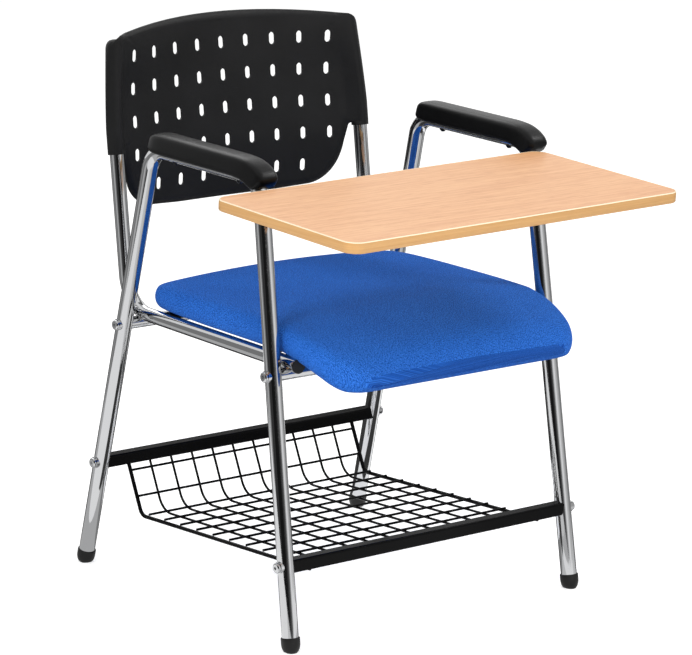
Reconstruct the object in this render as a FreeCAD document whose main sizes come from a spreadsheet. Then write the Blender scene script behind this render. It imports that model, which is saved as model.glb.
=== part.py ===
import FreeCAD, Part
import Sketcher
import math
import os
import re
from types import SimpleNamespace

# Training chair with two chromed side frames, a slotted plastic back, a padded
# seat, a wire book basket and a writing tablet that lifts on a hinge.
# +Z up, -Y is the front, -X is the sitter's right. Millimetres.

V = FreeCAD.Vector
doc = FreeCAD.newDocument("TrainingChair")

# Driving sizes. Lengths in millimetres, angles in degrees.
sizes = {
    # side frames
    "leg_diameter": 25.0,
    "leg_wall": 1.5,
    "floor_spacing": 546.0,
    "splay_angle": 1.2,
    "front_foot_reach": 248.8,
    "front_lean_angle": 9.57,
    "rear_foot_reach": 282.8,
    "rear_lean_angle": 12.44,
    "arm_height": 684.0,
    "arm_bend_radius": 40.0,
    "tube_end_lift": 8.0,
    "cap_wall": 1.8,
    "cap_height": 22.0,
    "cap_foot_radius": 10.5,
    "cap_dome_height": 6.0,
    # seat frame
    "seat_bolt_height": 401.0,
    "cross_tube_diameter": 19.0,
    "cross_tube_wall": 1.5,
    "rail_diameter": 22.0,
    "rail_wall": 1.5,
    "rail_spacing": 476.0,
    "rail_rise": 16.0,
    "rail_front_reach": 205.0,
    "upright_reach": 220.9,
    "upright_lean_angle": 8.63,
    "upright_top_height": 700.0,
    "rail_bend_radius": 60.0,
    "plug_flange": 3.0,
    "plug_depth": 12.0,
    # bolts, washers and inserts
    "bolt_diameter": 8.0,
    "bolt_hole_diameter": 8.5,
    "bolt_head_diameter": 15.5,
    "bolt_head_height": 5.0,
    "bolt_head_round": 2.5,
    "bolt_socket_across": 5.0,
    "bolt_socket_depth": 2.8,
    "bolt_grip": 24.0,
    "washer_diameter": 18.0,
    "washer_thickness": 1.6,
    "insert_length": 20.0,
    # back shell, in the leaning frame of the uprights
    "shell_thickness": 4.0,
    "shell_set_back": 1.0,
    "shell_sag": 34.0,
    "shell_chord": 400.0,
    "sleeve_diameter": 28.0,
    "sleeve_clearance": 0.1,
    "sleeve_bottom": 651.0,
    "sleeve_roof": 4.0,
    "shell_corner_top": 826.0,
    "shell_top_half_width": 240.0,
    "shell_taper_height": 716.0,
    "shell_taper_radius": 600.0,
    "shell_arch_corner": 871.5,
    "shell_arch_radius": 1190.0,
    "shell_corner_radius": 14.0,
    "notch_half_width": 215.0,
    "notch_top": 656.0,
    "waist_half_width": 210.0,
    "waist_height": 626.0,
    "foot_half_width": 186.0,
    "foot_height": 578.0,
    "foot_corner_radius": 26.0,
    "shell_bottom": 563.0,
    "slot_width": 12.0,
    "slot_length": 21.0,
    "slot_pitch_across": 47.1,
    "slot_pitch_down": 50.5,
    "slot_top_height": 802.0,
    "slot_row_drop": 6.3,
    "slot_columns_count": 9.0,
    "slot_short_row_count": 7.0,
    "slot_rows_count": 5.0,
    "shell_screw_diameter": 4.0,
    "shell_screw_head": 8.0,
    "shell_screw_head_height": 2.4,
    "shell_screw_length": 12.0,
    "shell_screw_height": 682.0,
    # seat
    "seat_tab_thickness": 3.0,
    "seat_tab_width": 30.0,
    "seat_tab_reach": 48.0,
    "seat_tab_rise": 12.0,
    "seat_bolt_diameter": 6.0,
    "seat_bolt_head": 11.0,
    "seat_bolt_head_height": 4.0,
    "seat_bolt_spacing": 404.0,
    "seat_bolt_front": 140.0,
    "seat_bolt_rear": 110.0,
    "t_nut_barrel": 8.5,
    "t_nut_flange": 19.0,
    "t_nut_flange_height": 1.5,
    "t_nut_height": 8.5,
    "board_thickness": 10.0,
    "board_half_width": 212.0,
    "board_front": 226.0,
    "board_rear": 160.0,
    "board_corner_radius": 40.0,
    "cushion_half_width": 248.0,
    "cushion_rear": 182.0,
    "cushion_front": 306.0,
    "cushion_lift": 0.3,
    "cushion_nose_drop": 41.3,
    "cushion_depth": 51.7,
    "cushion_clearance": 0.3,
    "cushion_stations_count": 34.0,
    "rail_room": 0.6,
    # arm pads
    "pad_width": 50.0,
    "pad_top_rise": 28.0,
    "pad_skirt_drop": 3.0,
    "pad_shoulder_rise": 15.0,
    "pad_top_width": 37.0,
    "pad_rear": 125.0,
    "pad_rear_radius": 12.0,
    "pad_flat_front": 119.0,
    "pad_tip": 150.0,
    "pad_tip_rise": 10.0,
    "pad_nose": 158.0,
    "pad_nose_drop": 11.0,
    "strip_width": 14.0,
    "strip_thickness": 3.0,
    "strip_front": 98.0,
    "strip_rear": 88.0,
    "pad_screw_diameter": 5.0,
    "pad_screw_head": 11.0,
    "pad_screw_head_height": 3.5,
    "pad_screw_front": 85.0,
    "pad_screw_rear": 74.0,
    # basket
    "bar_width": 20.0,
    "bar_wall": 1.5,
    "bar_corner_radius": 3.5,
    "basket_front_height": 125.0,
    "basket_rear_height": 171.0,
    "end_wire_diameter": 6.0,
    "long_wire_diameter": 3.8,
    "cross_wire_diameter": 3.8,
    "end_wire_spacing": 444.0,
    "basket_heel_reach": 202.0,
    "basket_heel_height": 86.0,
    "basket_rear_lip": 241.0,
    "basket_front_lip": 224.0,
    "end_wire_bend": 16.0,
    "long_wire_bend": 34.0,
    "wire_weld_gap": 0.05,
    "cross_wire_start": 32.0,
    "cross_wire_pitch": 42.0,
    "cross_wires_count": 12.0,
    "long_wires_count": 10.0,
    # writing tablet, in its own frame at the middle of its top
    "tablet_length": 632.0,
    "tablet_depth": 305.0,
    "tablet_thickness": 16.0,
    "tablet_corner_radius": 22.0,
    "edge_band_thickness": 1.2,
    "tablet_offset_right": 57.0,
    "tablet_offset_front": 323.0,
    "tablet_height": 672.0,
    "tablet_yaw_angle": 2.0,
    "tablet_tilt_angle": 2.0,
    "hinge_from_middle": 228.0,
    "hinge_drop": 27.0,
    "hinge_pin_diameter": 8.0,
    "hinge_running_gap": 0.05,
    "knuckle_diameter": 14.0,
    "knuckle_length": 28.0,
    "knuckle_gap": 0.5,
    "hinge_middle_rear": 76.0,
    "leaf_thickness": 3.0,
    "leaf_tail": 4.0,
    "leaf_length": 84.0,
    "leaf_width": 100.0,
    "leaf_screw_diameter": 4.0,
    "leaf_screw_head": 8.0,
    "leaf_screw_head_height": 2.2,
    "leaf_screw_length": 11.0,
    "bracket_thickness": 4.0,
    "bracket_below_pin": 8.0,
    "bracket_tail": 6.0,
    "bracket_length": 125.0,
    "bracket_front": 25.0,
    "web_width": 10.0,
    "clamp_half": 22.0,
    "clamp_height": 18.0,
    "clamp_below_top": 44.0,
    "clamp_split": 1.0,
    "clamp_bolt_diameter": 5.0,
    "clamp_bolt_head": 9.0,
    "clamp_bolt_head_height": 4.0,
    "clamp_bolt_side": 17.4,
    "rest_pad_diameter": 16.0,
    "rest_pad_gap": 0.2,
    "rest_pad_inset": 18.0,
    # cutting tools
    "overrun": 5.0,
    # reference point: filled in from the finished box of the whole chair
    "origin_x": 0.0,
    "origin_y": 0.0,
    "origin_z": 0.0,
}

# Heights that follow from the sizes
heights = {
    "rail_height": "seat_bolt_height + rail_rise",
    "seat_tab_top": "rail_height + seat_tab_rise",
    "cushion_bottom": "seat_tab_top + cushion_lift",
    "cushion_nose_bottom": "cushion_bottom - cushion_nose_drop",
    "cushion_top": "cushion_bottom + cushion_depth",
    "pad_top": "arm_height + pad_top_rise",
    "pad_bottom": "arm_height - pad_skirt_drop",
    "pad_shoulder": "arm_height + pad_shoulder_rise",
    "pad_tip_height": "arm_height + pad_tip_rise",
    "pad_nose_height": "arm_height - pad_nose_drop",
}

sheet = doc.addObject("Spreadsheet::Sheet", "Dims")
cells = {}
for row, (word, entry) in enumerate(list(sizes.items()) + list(heights.items()), start=1):
    cells[word] = "A%d" % row
    sheet.set(cells[word], "=" + entry if word in heights else str(entry))
    sheet.setAlias(cells[word], word)
    sheet.set("B%d" % row, "'" + word.replace("_", " "))
doc.recompute()
s = SimpleNamespace(**{word: float(sheet.get(word)) for word in cells})


def E(text):
    """Expression text with each size name pointed at its cell."""
    return re.sub(r"[a-z][a-z0-9_]*", lambda m: "Dims." + m.group() if m.group() in cells else m.group(), text)


def val(text):
    return float(sheet.evalExpression(E(text)))


def bind(thing, prop, text):
    thing.setExpression(prop, E(text))


def turn(axis, angle):
    return FreeCAD.Rotation(axis, angle)


def tan(angle):
    return math.tan(math.radians(angle))


X_AXIS = V(1, 0, 0)
Y_AXIS = V(0, 1, 0)
Z_AXIS = V(0, 0, 1)
HALF_TURN = 180
QUARTER_TURN = 90
ALONG_X = turn(Y_AXIS, QUARTER_TURN)
ALONG_MINUS_X = turn(Y_AXIS, -QUARTER_TURN)
ALONG_Y = turn(X_AXIS, -QUARTER_TURN)
ALONG_MINUS_Y = turn(X_AXIS, QUARTER_TURN)
LEVEL = FreeCAD.Rotation()


# Sketch helpers

def base_plane(body, role):
    return next(o for o in body.Origin.OriginFeatures if o.Role == role)


def new_sketch(body, name, role, lift="0"):
    sk = body.newObject("Sketcher::SketchObject", name)
    sk.AttachmentSupport = [(base_plane(body, role), "")]
    sk.MapMode = "FlatFace"
    if lift != "0":
        bind(sk, ".AttachmentOffset.Base.z", lift)
    return sk


def pin(sk, geo, pos, ex, ey):
    for kind, text in (("DistanceX", ex), ("DistanceY", ey)):
        number = sk.addConstraint(Sketcher.Constraint(kind, geo, pos, val(text)))
        bind(sk, "Constraints[%d]" % number, text)


def outline(sk, corners, closed=True):
    """Lines through the corners, each rounded by its own radius unless that is None."""
    pts = [V(val(c[0]), val(c[1]), 0) for c in corners]
    count = len(pts)
    order = range(count) if closed else range(1, count - 1)
    before = {}
    after = {}
    arcs = {}
    for i in range(count):
        before[i] = pts[i]
        after[i] = pts[i]
    for i in order:
        if corners[i][2] is None:
            continue
        radius = val(corners[i][2])
        a = (pts[i - 1] - pts[i]).normalize()
        b = (pts[(i + 1) % count] - pts[i]).normalize()
        half = a.getAngle(b) / 2
        reach = radius / math.tan(half)
        before[i] = pts[i] + a * reach
        after[i] = pts[i] + b * reach
        centre = pts[i] + (a + b).normalize() * (radius / math.sin(half))
        start = before[i] - centre
        end = after[i] - centre
        forward = start.cross(end).z > 0
        first = start if forward else end
        last = end if forward else start
        a0 = math.atan2(first.y, first.x)
        a1 = math.atan2(last.y, last.x)
        if a1 < a0:
            a1 = a1 + 2 * math.pi
        arcs[i] = (Part.ArcOfCircle(Part.Circle(centre, Z_AXIS, radius), a0, a1), forward)
    lines = {}
    legs = range(count) if closed else range(count - 1)
    for i in legs:
        j = (i + 1) % count
        lines[i] = sk.addGeometry(Part.LineSegment(after[i], before[j]))
    for i in order:
        prior = lines[i - 1] if i > 0 else lines[count - 1]
        if i not in arcs:
            sk.addConstraint(Sketcher.Constraint("Coincident", prior, 2, lines[i], 1))
            pin(sk, lines[i], 1, corners[i][0], corners[i][1])
            continue
        curve, forward = arcs[i]
        arc = sk.addGeometry(curve)
        near, far = (1, 2) if forward else (2, 1)
        sk.addConstraint(Sketcher.Constraint("Tangent", prior, 2, arc, near))
        sk.addConstraint(Sketcher.Constraint("Tangent", arc, far, lines[i], 1))
        number = sk.addConstraint(Sketcher.Constraint("Radius", arc, val(corners[i][2])))
        bind(sk, "Constraints[%d]" % number, corners[i][2])
        corner = sk.addGeometry(Part.Point(pts[i]), True)
        sk.addConstraint(Sketcher.Constraint("PointOnObject", corner, 1, prior))
        sk.addConstraint(Sketcher.Constraint("PointOnObject", corner, 1, lines[i]))
        pin(sk, corner, 1, corners[i][0], corners[i][1])
    if not closed:
        pin(sk, lines[0], 1, corners[0][0], corners[0][1])
        pin(sk, lines[count - 2], 2, corners[-1][0], corners[-1][1])
    return sk


def circles(sk, rings):
    for ex, ey, radius in rings:
        geo = sk.addGeometry(Part.Circle(V(val(ex), val(ey), 0), Z_AXIS, val(radius)))
        number = sk.addConstraint(Sketcher.Constraint("Radius", geo, val(radius)))
        bind(sk, "Constraints[%d]" % number, radius)
        if ex == "0" and ey == "0":
            sk.addConstraint(Sketcher.Constraint("Coincident", geo, 3, -1, 1))
        else:
            pin(sk, geo, 3, ex, ey)
    return sk


def rectangle(half_x, half_y, radius):
    return [
        ("-(%s)" % half_x, "-(%s)" % half_y, radius),
        (half_x, "-(%s)" % half_y, radius),
        (half_x, half_y, radius),
        ("-(%s)" % half_x, half_y, radius),
    ]


def pad(body, name, sk, length, both=False, back=False):
    feature = body.newObject("PartDesign::Pad", name)
    feature.Profile = sk
    feature.Midplane = both
    feature.Reversed = back
    bind(feature, "Length", length)
    return feature


def drill(body, name, role, rings):
    sk = circles(new_sketch(body, name + "_sketch", role), rings)
    feature = body.newObject("PartDesign::Pocket", name)
    feature.Profile = sk
    feature.Type = "ThroughAll"
    feature.Midplane = True
    return feature


def bent_tube(body, corners, radius, wall, prepare=None):
    """A round tube, or a solid bar where wall is None, along a bent line."""
    route = new_sketch(body, body.Name + "_route", "YZ_Plane")
    if prepare:
        prepare(route)
    outline(route, corners, closed=False)
    doc.recompute()
    ring = body.newObject("Sketcher::SketchObject", body.Name + "_ring")
    ring.AttachmentSupport = [(route, "Edge1")]
    ring.MapMode = "NormalToEdge"
    ring.MapPathParameter = 0.0
    rings = [("0", "0", radius)]
    if wall:
        rings.append(("0", "0", "%s - %s" % (radius, wall)))
    circles(ring, rings)
    doc.recompute()
    pipe = body.newObject("PartDesign::AdditivePipe", body.Name + "_pipe")
    pipe.Profile = ring
    pipe.Spine = (route, [])
    doc.recompute()
    area = math.pi * val(radius) ** 2
    if wall:
        area = area - math.pi * (val(radius) - val(wall)) ** 2
    drift = abs(pipe.Shape.Volume / (area * route.Shape.Length) - 1)
    print("%s length %.1f volume drift %.5f" % (body.Name, route.Shape.Length, drift))
    return route


# Solid helpers

def cylinder(name, radius, height, base, rotation=LEVEL):
    obj = doc.addObject("Part::Cylinder", name)
    bind(obj, "Radius", radius)
    bind(obj, "Height", height)
    obj.Placement = FreeCAD.Placement(base, rotation)
    return obj


def block(name, length, width, height, corner):
    obj = doc.addObject("Part::Box", name)
    bind(obj, "Length", length)
    bind(obj, "Width", width)
    bind(obj, "Height", height)
    obj.Placement = FreeCAD.Placement(corner, LEVEL)
    return obj


def together(name, parts):
    obj = doc.addObject("Part::MultiFuse", name)
    obj.Shapes = parts
    return obj


def group(name, parts):
    obj = doc.addObject("Part::Compound", name)
    obj.Links = parts
    return obj


def without(name, base, tools):
    obj = doc.addObject("Part::Cut", name)
    obj.Base = base
    obj.Tool = tools[0] if len(tools) == 1 else together(name + "_tools", tools)
    return obj


def shared(name, first, second):
    obj = doc.addObject("Part::Common", name)
    obj.Base = first
    obj.Tool = second
    return obj


def plain(name, shape):
    obj = doc.addObject("Part::Feature", name)
    obj.Shape = shape
    obj.Placement = FreeCAD.Placement()
    return obj


def copies(name, master, places):
    """One compound of moved copies of a finished master piece."""
    doc.recompute()
    shapes = []
    for place in places:
        piece = master.Shape.copy()
        piece.Placement = place.multiply(piece.Placement)
        shapes.append(piece)
    return plain(name, Part.makeCompound(shapes))


def new_body(name):
    return doc.addObject("PartDesign::Body", name)


nodes = {}


def node(obj, in_tablet=False):
    nodes[obj.Name] = (obj, in_tablet)
    return obj


# Lines of the legs, the same on both side frames

SPLAY = "splay_angle * 1 deg"
FRONT_LEAN = "front_lean_angle * 1 deg"
REAR_LEAN = "rear_lean_angle * 1 deg"


def in_frame(height):
    """Height measured up the splayed plane of a side frame."""
    return "((%s) / cos(%s))" % (height, SPLAY)


def front_y(height):
    return "(tan(%s) * %s - front_foot_reach)" % (FRONT_LEAN, in_frame(height))


def rear_y(height):
    return "(rear_foot_reach - tan(%s) * %s)" % (REAR_LEAN, in_frame(height))


def frame_x(height):
    return "(floor_spacing / 2 - tan(%s) * (%s))" % (SPLAY, height)


def leg_point(side, front, height):
    y = val(front_y(height)) if front else val(rear_y(height))
    return V(side * val(frame_x(height)), y, val(height))


def leg_direction(side, front):
    return (leg_point(side, front, "arm_height") - leg_point(side, front, "0")).normalize()


SIDES = (("right", -1), ("left", 1))
ENDS = (("front", True), ("rear", False))

frame_corners = [
    (front_y("tube_end_lift"), in_frame("tube_end_lift"), None),
    (front_y("arm_height"), in_frame("arm_height"), "arm_bend_radius"),
    (rear_y("arm_height"), in_frame("arm_height"), "arm_bend_radius"),
    (rear_y("tube_end_lift"), in_frame("tube_end_lift"), None),
]


def splayed(side):
    def prepare(route):
        route.AttachmentOffset = FreeCAD.Placement(V(0, 0, 0), turn(X_AXIS, -side * s.splay_angle))
        bind(route, ".AttachmentOffset.Base.z", "%s floor_spacing / 2" % ("-" if side < 0 else ""))
    return prepare


leg_cores = {}
arm_cores = {}
for word, side in SIDES:
    frame = new_body("side_frame_" + word)
    bent_tube(frame, frame_corners, "leg_diameter / 2", "leg_wall", splayed(side))
    hole = "bolt_hole_diameter / 2"
    drill(frame, "bolt_holes_" + word, "YZ_Plane", [
        (front_y("seat_bolt_height"), "seat_bolt_height", hole),
        (rear_y("seat_bolt_height"), "seat_bolt_height", hole),
        (front_y("basket_front_height"), "basket_front_height", hole),
        (rear_y("basket_rear_height"), "basket_rear_height", hole),
    ])
    sign = "-" if side < 0 else ""
    drill(frame, "pad_screw_holes_" + word, "XY_Plane", [
        (sign + frame_x("arm_height"), "-pad_screw_front", "pad_screw_diameter / 2"),
        (sign + frame_x("arm_height"), "pad_screw_rear", "pad_screw_diameter / 2"),
    ])
    node(frame)
    core = new_body("arm_core_" + word)
    bent_tube(core, frame_corners, "leg_diameter / 2", None, splayed(side))
    arm_cores[side] = core
    for end, front in ENDS:
        foot = leg_point(side, front, "-cap_height")
        aim = FreeCAD.Rotation(Z_AXIS, leg_direction(side, front))
        leg_cores[side, front] = cylinder(
            "leg_core_%s_%s" % (end, word), "leg_diameter / 2", "arm_height", foot, aim)

# Cross tubes between the legs, with saddle ends, and their threaded inserts


def between_legs(name, front, height, radius):
    """A bar along X from leg centre to leg centre, cut to the legs afterwards."""
    start = leg_point(-1, front, height)
    return cylinder(name, radius, "2 * %s" % frame_x(height), start, ALONG_X)


cross_cores = {}
inserts = []
for end, front in ENDS:
    outer = between_legs(end + "_cross_outer", front, "seat_bolt_height", "cross_tube_diameter / 2")
    cross_cores[front] = outer
    inner = between_legs(end + "_cross_inner", front, "seat_bolt_height",
                         "cross_tube_diameter / 2 - cross_tube_wall")
    legs = [leg_cores[-1, front], leg_cores[1, front]]
    node(without(end + "_cross_tube", outer, [inner] + legs))


def leg_insert(name, side, front, height, radius):
    """A threaded insert from the leg's centre inwards, cut to the leg."""
    start = leg_point(side, front, height)
    way = ALONG_X if side < 0 else ALONG_MINUS_X
    reach = "leg_diameter / 2 + insert_length"
    slug = cylinder(name + "_slug", radius, reach, start, way)
    bore = cylinder(name + "_bore", "bolt_diameter / 2", reach, start, way)
    return without(name, slug, [bore, leg_cores[side, front]])


def four_inserts(name, heights, radius):
    pieces = []
    for word, side in SIDES:
        for end, front in ENDS:
            label = "%s_%s_%s" % (name, end, word)
            pieces.append(leg_insert(label, side, front, heights[front], radius))
    return group(name, pieces)


seat_heights = {True: "seat_bolt_height", False: "seat_bolt_height"}
basket_heights = {True: "basket_front_height", False: "basket_rear_height"}
node(four_inserts("cross_tube_inserts", seat_heights, "cross_tube_diameter / 2 - cross_tube_wall"))

# Saddle washers and button-head bolts on the outer sides of the legs


def washer(name, side, front, height):
    start = leg_point(side, front, height)
    way = ALONG_X if side > 0 else ALONG_MINUS_X
    disc = cylinder(name + "_disc", "washer_diameter / 2", "leg_diameter / 2 + washer_thickness", start, way)
    bore = cylinder(name + "_bore", "bolt_hole_diameter / 2", "leg_diameter", start, way)
    return without(name, disc, [bore, leg_cores[side, front]])


def four_washers(name, heights):
    pieces = []
    for word, side in SIDES:
        for end, front in ENDS:
            pieces.append(washer("%s_%s_%s" % (name, end, word), side, front, heights[front]))
    return group(name, pieces)


node(four_washers("frame_washers", seat_heights))
node(four_washers("basket_washers", basket_heights))

# One bolt, standing on +Z with the seat of its head at the origin
bolt = new_body("bolt_master")
profile = new_sketch(bolt, "bolt_profile", "XZ_Plane")
outline(profile, [
    ("0", "-bolt_grip - leg_diameter / 2", None),
    ("bolt_diameter / 2", "-bolt_grip - leg_diameter / 2", None),
    ("bolt_diameter / 2", "0", None),
    ("bolt_head_diameter / 2", "0", None),
    ("bolt_head_diameter / 2", "bolt_head_height", "bolt_head_round"),
    ("0", "bolt_head_height", None),
])
turned = bolt.newObject("PartDesign::Revolution", "bolt_turned")
turned.Profile = profile
turned.ReferenceAxis = (profile, ["V_Axis"])
turned.Angle = 2 * HALF_TURN
doc.recompute()
socket = new_sketch(bolt, "bolt_socket", "XY_Plane", "bolt_head_height")
hexagon = [(1.0, 0.0), (0.5, 0.5), (-0.5, 0.5), (-1.0, 0.0), (-0.5, -0.5), (0.5, -0.5)]
corners = []
for i, (cx, cy) in enumerate(hexagon):
    fx = "%s bolt_socket_across / sqrt(3)%s" % ("-" if cx < 0 else "", " / 2" if abs(cx) < 1 else "")
    fy = "0" if cy == 0 else "%s bolt_socket_across / 2" % ("-" if cy < 0 else "")
    corners.append((fx, fy, None))
outline(socket, corners)
pocket = bolt.newObject("PartDesign::Pocket", "bolt_hex")
pocket.Profile = socket
bind(pocket, "Length", "bolt_socket_depth")
doc.recompute()


def bolt_places(heights):
    places = []
    for word, side in SIDES:
        for end, front in ENDS:
            seat = leg_point(side, front, heights[front])
            seat = seat + V(side * (s.leg_diameter / 2 + s.washer_thickness), 0, 0)
            places.append(FreeCAD.Placement(seat, ALONG_X if side > 0 else ALONG_MINUS_X))
    return places


node(copies("frame_bolts", bolt, bolt_places(seat_heights)))
node(copies("basket_bolts", bolt, bolt_places(basket_heights)))

# Push-on foot caps, cut flat on the floor

cap = new_body("cap_master")
profile = new_sketch(cap, "cap_profile", "XZ_Plane")
outline(profile, [
    ("0", "-cap_dome_height", None),
    ("cap_foot_radius", "-cap_dome_height", None),
    ("cap_foot_radius", "0", None),
    ("leg_diameter / 2 + cap_wall", "cap_dome_height", None),
    ("leg_diameter / 2 + cap_wall", "cap_height", None),
    ("leg_diameter / 2", "cap_height", None),
    ("leg_diameter / 2", "tube_end_lift", None),
    ("0", "tube_end_lift", None),
])
turned = cap.newObject("PartDesign::Revolution", "cap_turned")
turned.Profile = profile
turned.ReferenceAxis = (profile, ["V_Axis"])
turned.Angle = 2 * HALF_TURN
cap_places = []
for word, side in SIDES:
    for end, front in ENDS:
        aim = FreeCAD.Rotation(Z_AXIS, leg_direction(side, front))
        cap_places.append(FreeCAD.Placement(leg_point(side, front, "0"), aim))
whole_caps = copies("foot_caps_whole", cap, cap_places)
ground = block("ground", "2 * floor_spacing", "2 * floor_spacing", "2 * cap_height",
               V(-s.floor_spacing, -s.floor_spacing, -2 * s.cap_height))
node(without("foot_caps", whole_caps, [ground]))

# Seat and back rails

UPRIGHT_LEAN = "upright_lean_angle * 1 deg"


def upright_y(height):
    return "(upright_reach + tan(%s) * (%s - rail_height))" % (UPRIGHT_LEAN, height)


rail_corners = [
    ("-rail_front_reach", "rail_height", None),
    (upright_y("rail_height"), "rail_height", "rail_bend_radius"),
    (upright_y("upright_top_height"), "upright_top_height", None),
]


def lifted(side, lift="rail_spacing / 2"):
    def prepare(route):
        bind(route, ".AttachmentOffset.Base.z", "%s(%s)" % ("-" if side < 0 else "", lift))
    return prepare


upright_way = FreeCAD.Rotation(X_AXIS, -s.upright_lean_angle)
UPRIGHT_FOOT = V(0, s.upright_reach, s.rail_height)


def on_back(x, depth, height):
    """A point given in the leaning frame of the uprights, its height level above the floor."""
    run = (height - s.rail_height) / math.cos(math.radians(s.upright_lean_angle))
    return UPRIGHT_FOOT + upright_way.multVec(V(x, depth, run))


rail_cores = {}
screw_cuts = {}
for word, side in SIDES:
    core = new_body("rail_core_" + word)
    bent_tube(core, rail_corners, "rail_diameter / 2", None, lifted(side))
    rail_cores[side] = core
    rail = new_body("rail_tube_" + word)
    bent_tube(rail, rail_corners, "rail_diameter / 2", "rail_wall", lifted(side))
    drill(rail, "rail_saddles_" + word, "YZ_Plane", [
        (front_y("seat_bolt_height"), "seat_bolt_height", "cross_tube_diameter / 2"),
        (rear_y("seat_bolt_height"), "seat_bolt_height", "cross_tube_diameter / 2"),
    ])
    deep = s.sleeve_diameter / 2 - s.shell_screw_length
    at = on_back(side * s.rail_spacing / 2, deep, s.shell_screw_height)
    way = upright_way.multiply(ALONG_Y)
    screw_cuts[side] = cylinder("shell_screw_hole_" + word, "shell_screw_diameter / 2",
                                "shell_screw_length + overrun", at, way)
    node(without("seat_back_rail_" + word, rail, [screw_cuts[side]]))

# Plugs in the open ends of the rails


def plug(name, base, way, flange):
    stem = cylinder(name + "_stem", "rail_diameter / 2 - rail_wall", "plug_depth", base, way)
    if not flange:
        return stem
    out = way.multVec(V(0, 0, -s.plug_flange))
    head = cylinder(name + "_head", "rail_diameter / 2", "plug_flange", base + out, way)
    return together(name, [stem, head])


front_plugs = []
top_plugs = []
for word, side in SIDES:
    x = side * s.rail_spacing / 2
    front_end = V(x, -s.rail_front_reach, s.rail_height)
    front_plugs.append(plug("rail_plug_" + word, front_end, ALONG_Y, True))
    top_end = on_back(x, 0, s.upright_top_height)
    down = upright_way.multiply(turn(X_AXIS, HALF_TURN))
    top_plugs.append(plug("upright_plug_" + word, top_end, down, True))
node(group("rail_end_plugs", front_plugs))
node(group("upright_top_plugs", top_plugs))

# Back shell, drawn in the leaning frame of the uprights: x across, y back, z up the lean


def up_lean(height):
    """Distance up the lean from the rail's level to a level height above the floor."""
    return "((%s - rail_height) / cos(%s))" % (height, UPRIGHT_LEAN)


SHELL_RADIUS = "((shell_chord ^ 2 / 4 + shell_sag ^ 2) / (2 * shell_sag))"
shell_radius = val(SHELL_RADIUS)
shell = new_body("shell_blank")
shell.Placement = FreeCAD.Placement(UPRIGHT_FOOT, upright_way)
plan = new_sketch(shell, "shell_plan", "XY_Plane", up_lean("shell_bottom - overrun"))
centre_y = s.shell_set_back + s.shell_sag - shell_radius
half_angle = math.asin(s.rail_spacing / 2 / shell_radius)
plan_centre = V(0, centre_y, 0)
inner_radius = shell_radius
outer_radius = shell_radius + s.shell_thickness
inner_arc = plan.addGeometry(Part.ArcOfCircle(
    Part.Circle(plan_centre, Z_AXIS, inner_radius), math.pi / 2 - half_angle, math.pi / 2 + half_angle))
outer_arc = plan.addGeometry(Part.ArcOfCircle(
    Part.Circle(plan_centre, Z_AXIS, outer_radius), math.pi / 2 - half_angle, math.pi / 2 + half_angle))
tips = []
for radius in (inner_radius, outer_radius):
    for sign in (1, -1):
        tips.append(plan_centre + V(sign * radius * math.sin(half_angle), radius * math.cos(half_angle), 0))
right_end = plan.addGeometry(Part.LineSegment(tips[0], tips[2]))
left_end = plan.addGeometry(Part.LineSegment(tips[3], tips[1]))
plan.addConstraint(Sketcher.Constraint("Coincident", inner_arc, 1, right_end, 1))
plan.addConstraint(Sketcher.Constraint("Coincident", outer_arc, 1, right_end, 2))
plan.addConstraint(Sketcher.Constraint("Coincident", outer_arc, 2, left_end, 1))
plan.addConstraint(Sketcher.Constraint("Coincident", inner_arc, 2, left_end, 2))
plan.addConstraint(Sketcher.Constraint("Coincident", inner_arc, 3, outer_arc, 3))
pin(plan, inner_arc, 3, "0", "shell_set_back + shell_sag - %s" % SHELL_RADIUS)
for arc, text in ((inner_arc, SHELL_RADIUS), (outer_arc, "%s + shell_thickness" % SHELL_RADIUS)):
    number = plan.addConstraint(Sketcher.Constraint("Radius", arc, val(text)))
    bind(plan, "Constraints[%d]" % number, text)
for line in (right_end, left_end):
    plan.addConstraint(Sketcher.Constraint("PointOnObject", inner_arc, 3, line))
number = plan.addConstraint(Sketcher.Constraint("DistanceX", right_end, 1, s.rail_spacing / 2))
bind(plan, "Constraints[%d]" % number, "rail_spacing / 2")
number = plan.addConstraint(Sketcher.Constraint("DistanceX", left_end, 2, -s.rail_spacing / 2))
bind(plan, "Constraints[%d]" % number, "-rail_spacing / 2")
pad(shell, "shell_panel", plan, "(shell_arch_corner - shell_bottom + 2 * overrun) / cos(%s)" % UPRIGHT_LEAN)
doc.recompute()
sleeve_x = "rail_spacing / 2"
rings = new_sketch(shell, "sleeve_plan", "XY_Plane", up_lean("sleeve_bottom - overrun"))
circles(rings, [(sleeve_x, "0", "sleeve_diameter / 2"), ("-" + sleeve_x, "0", "sleeve_diameter / 2")])
pad(shell, "sleeves", rings, "(shell_arch_corner - sleeve_bottom + overrun) / cos(%s)" % UPRIGHT_LEAN)
doc.recompute()

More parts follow.
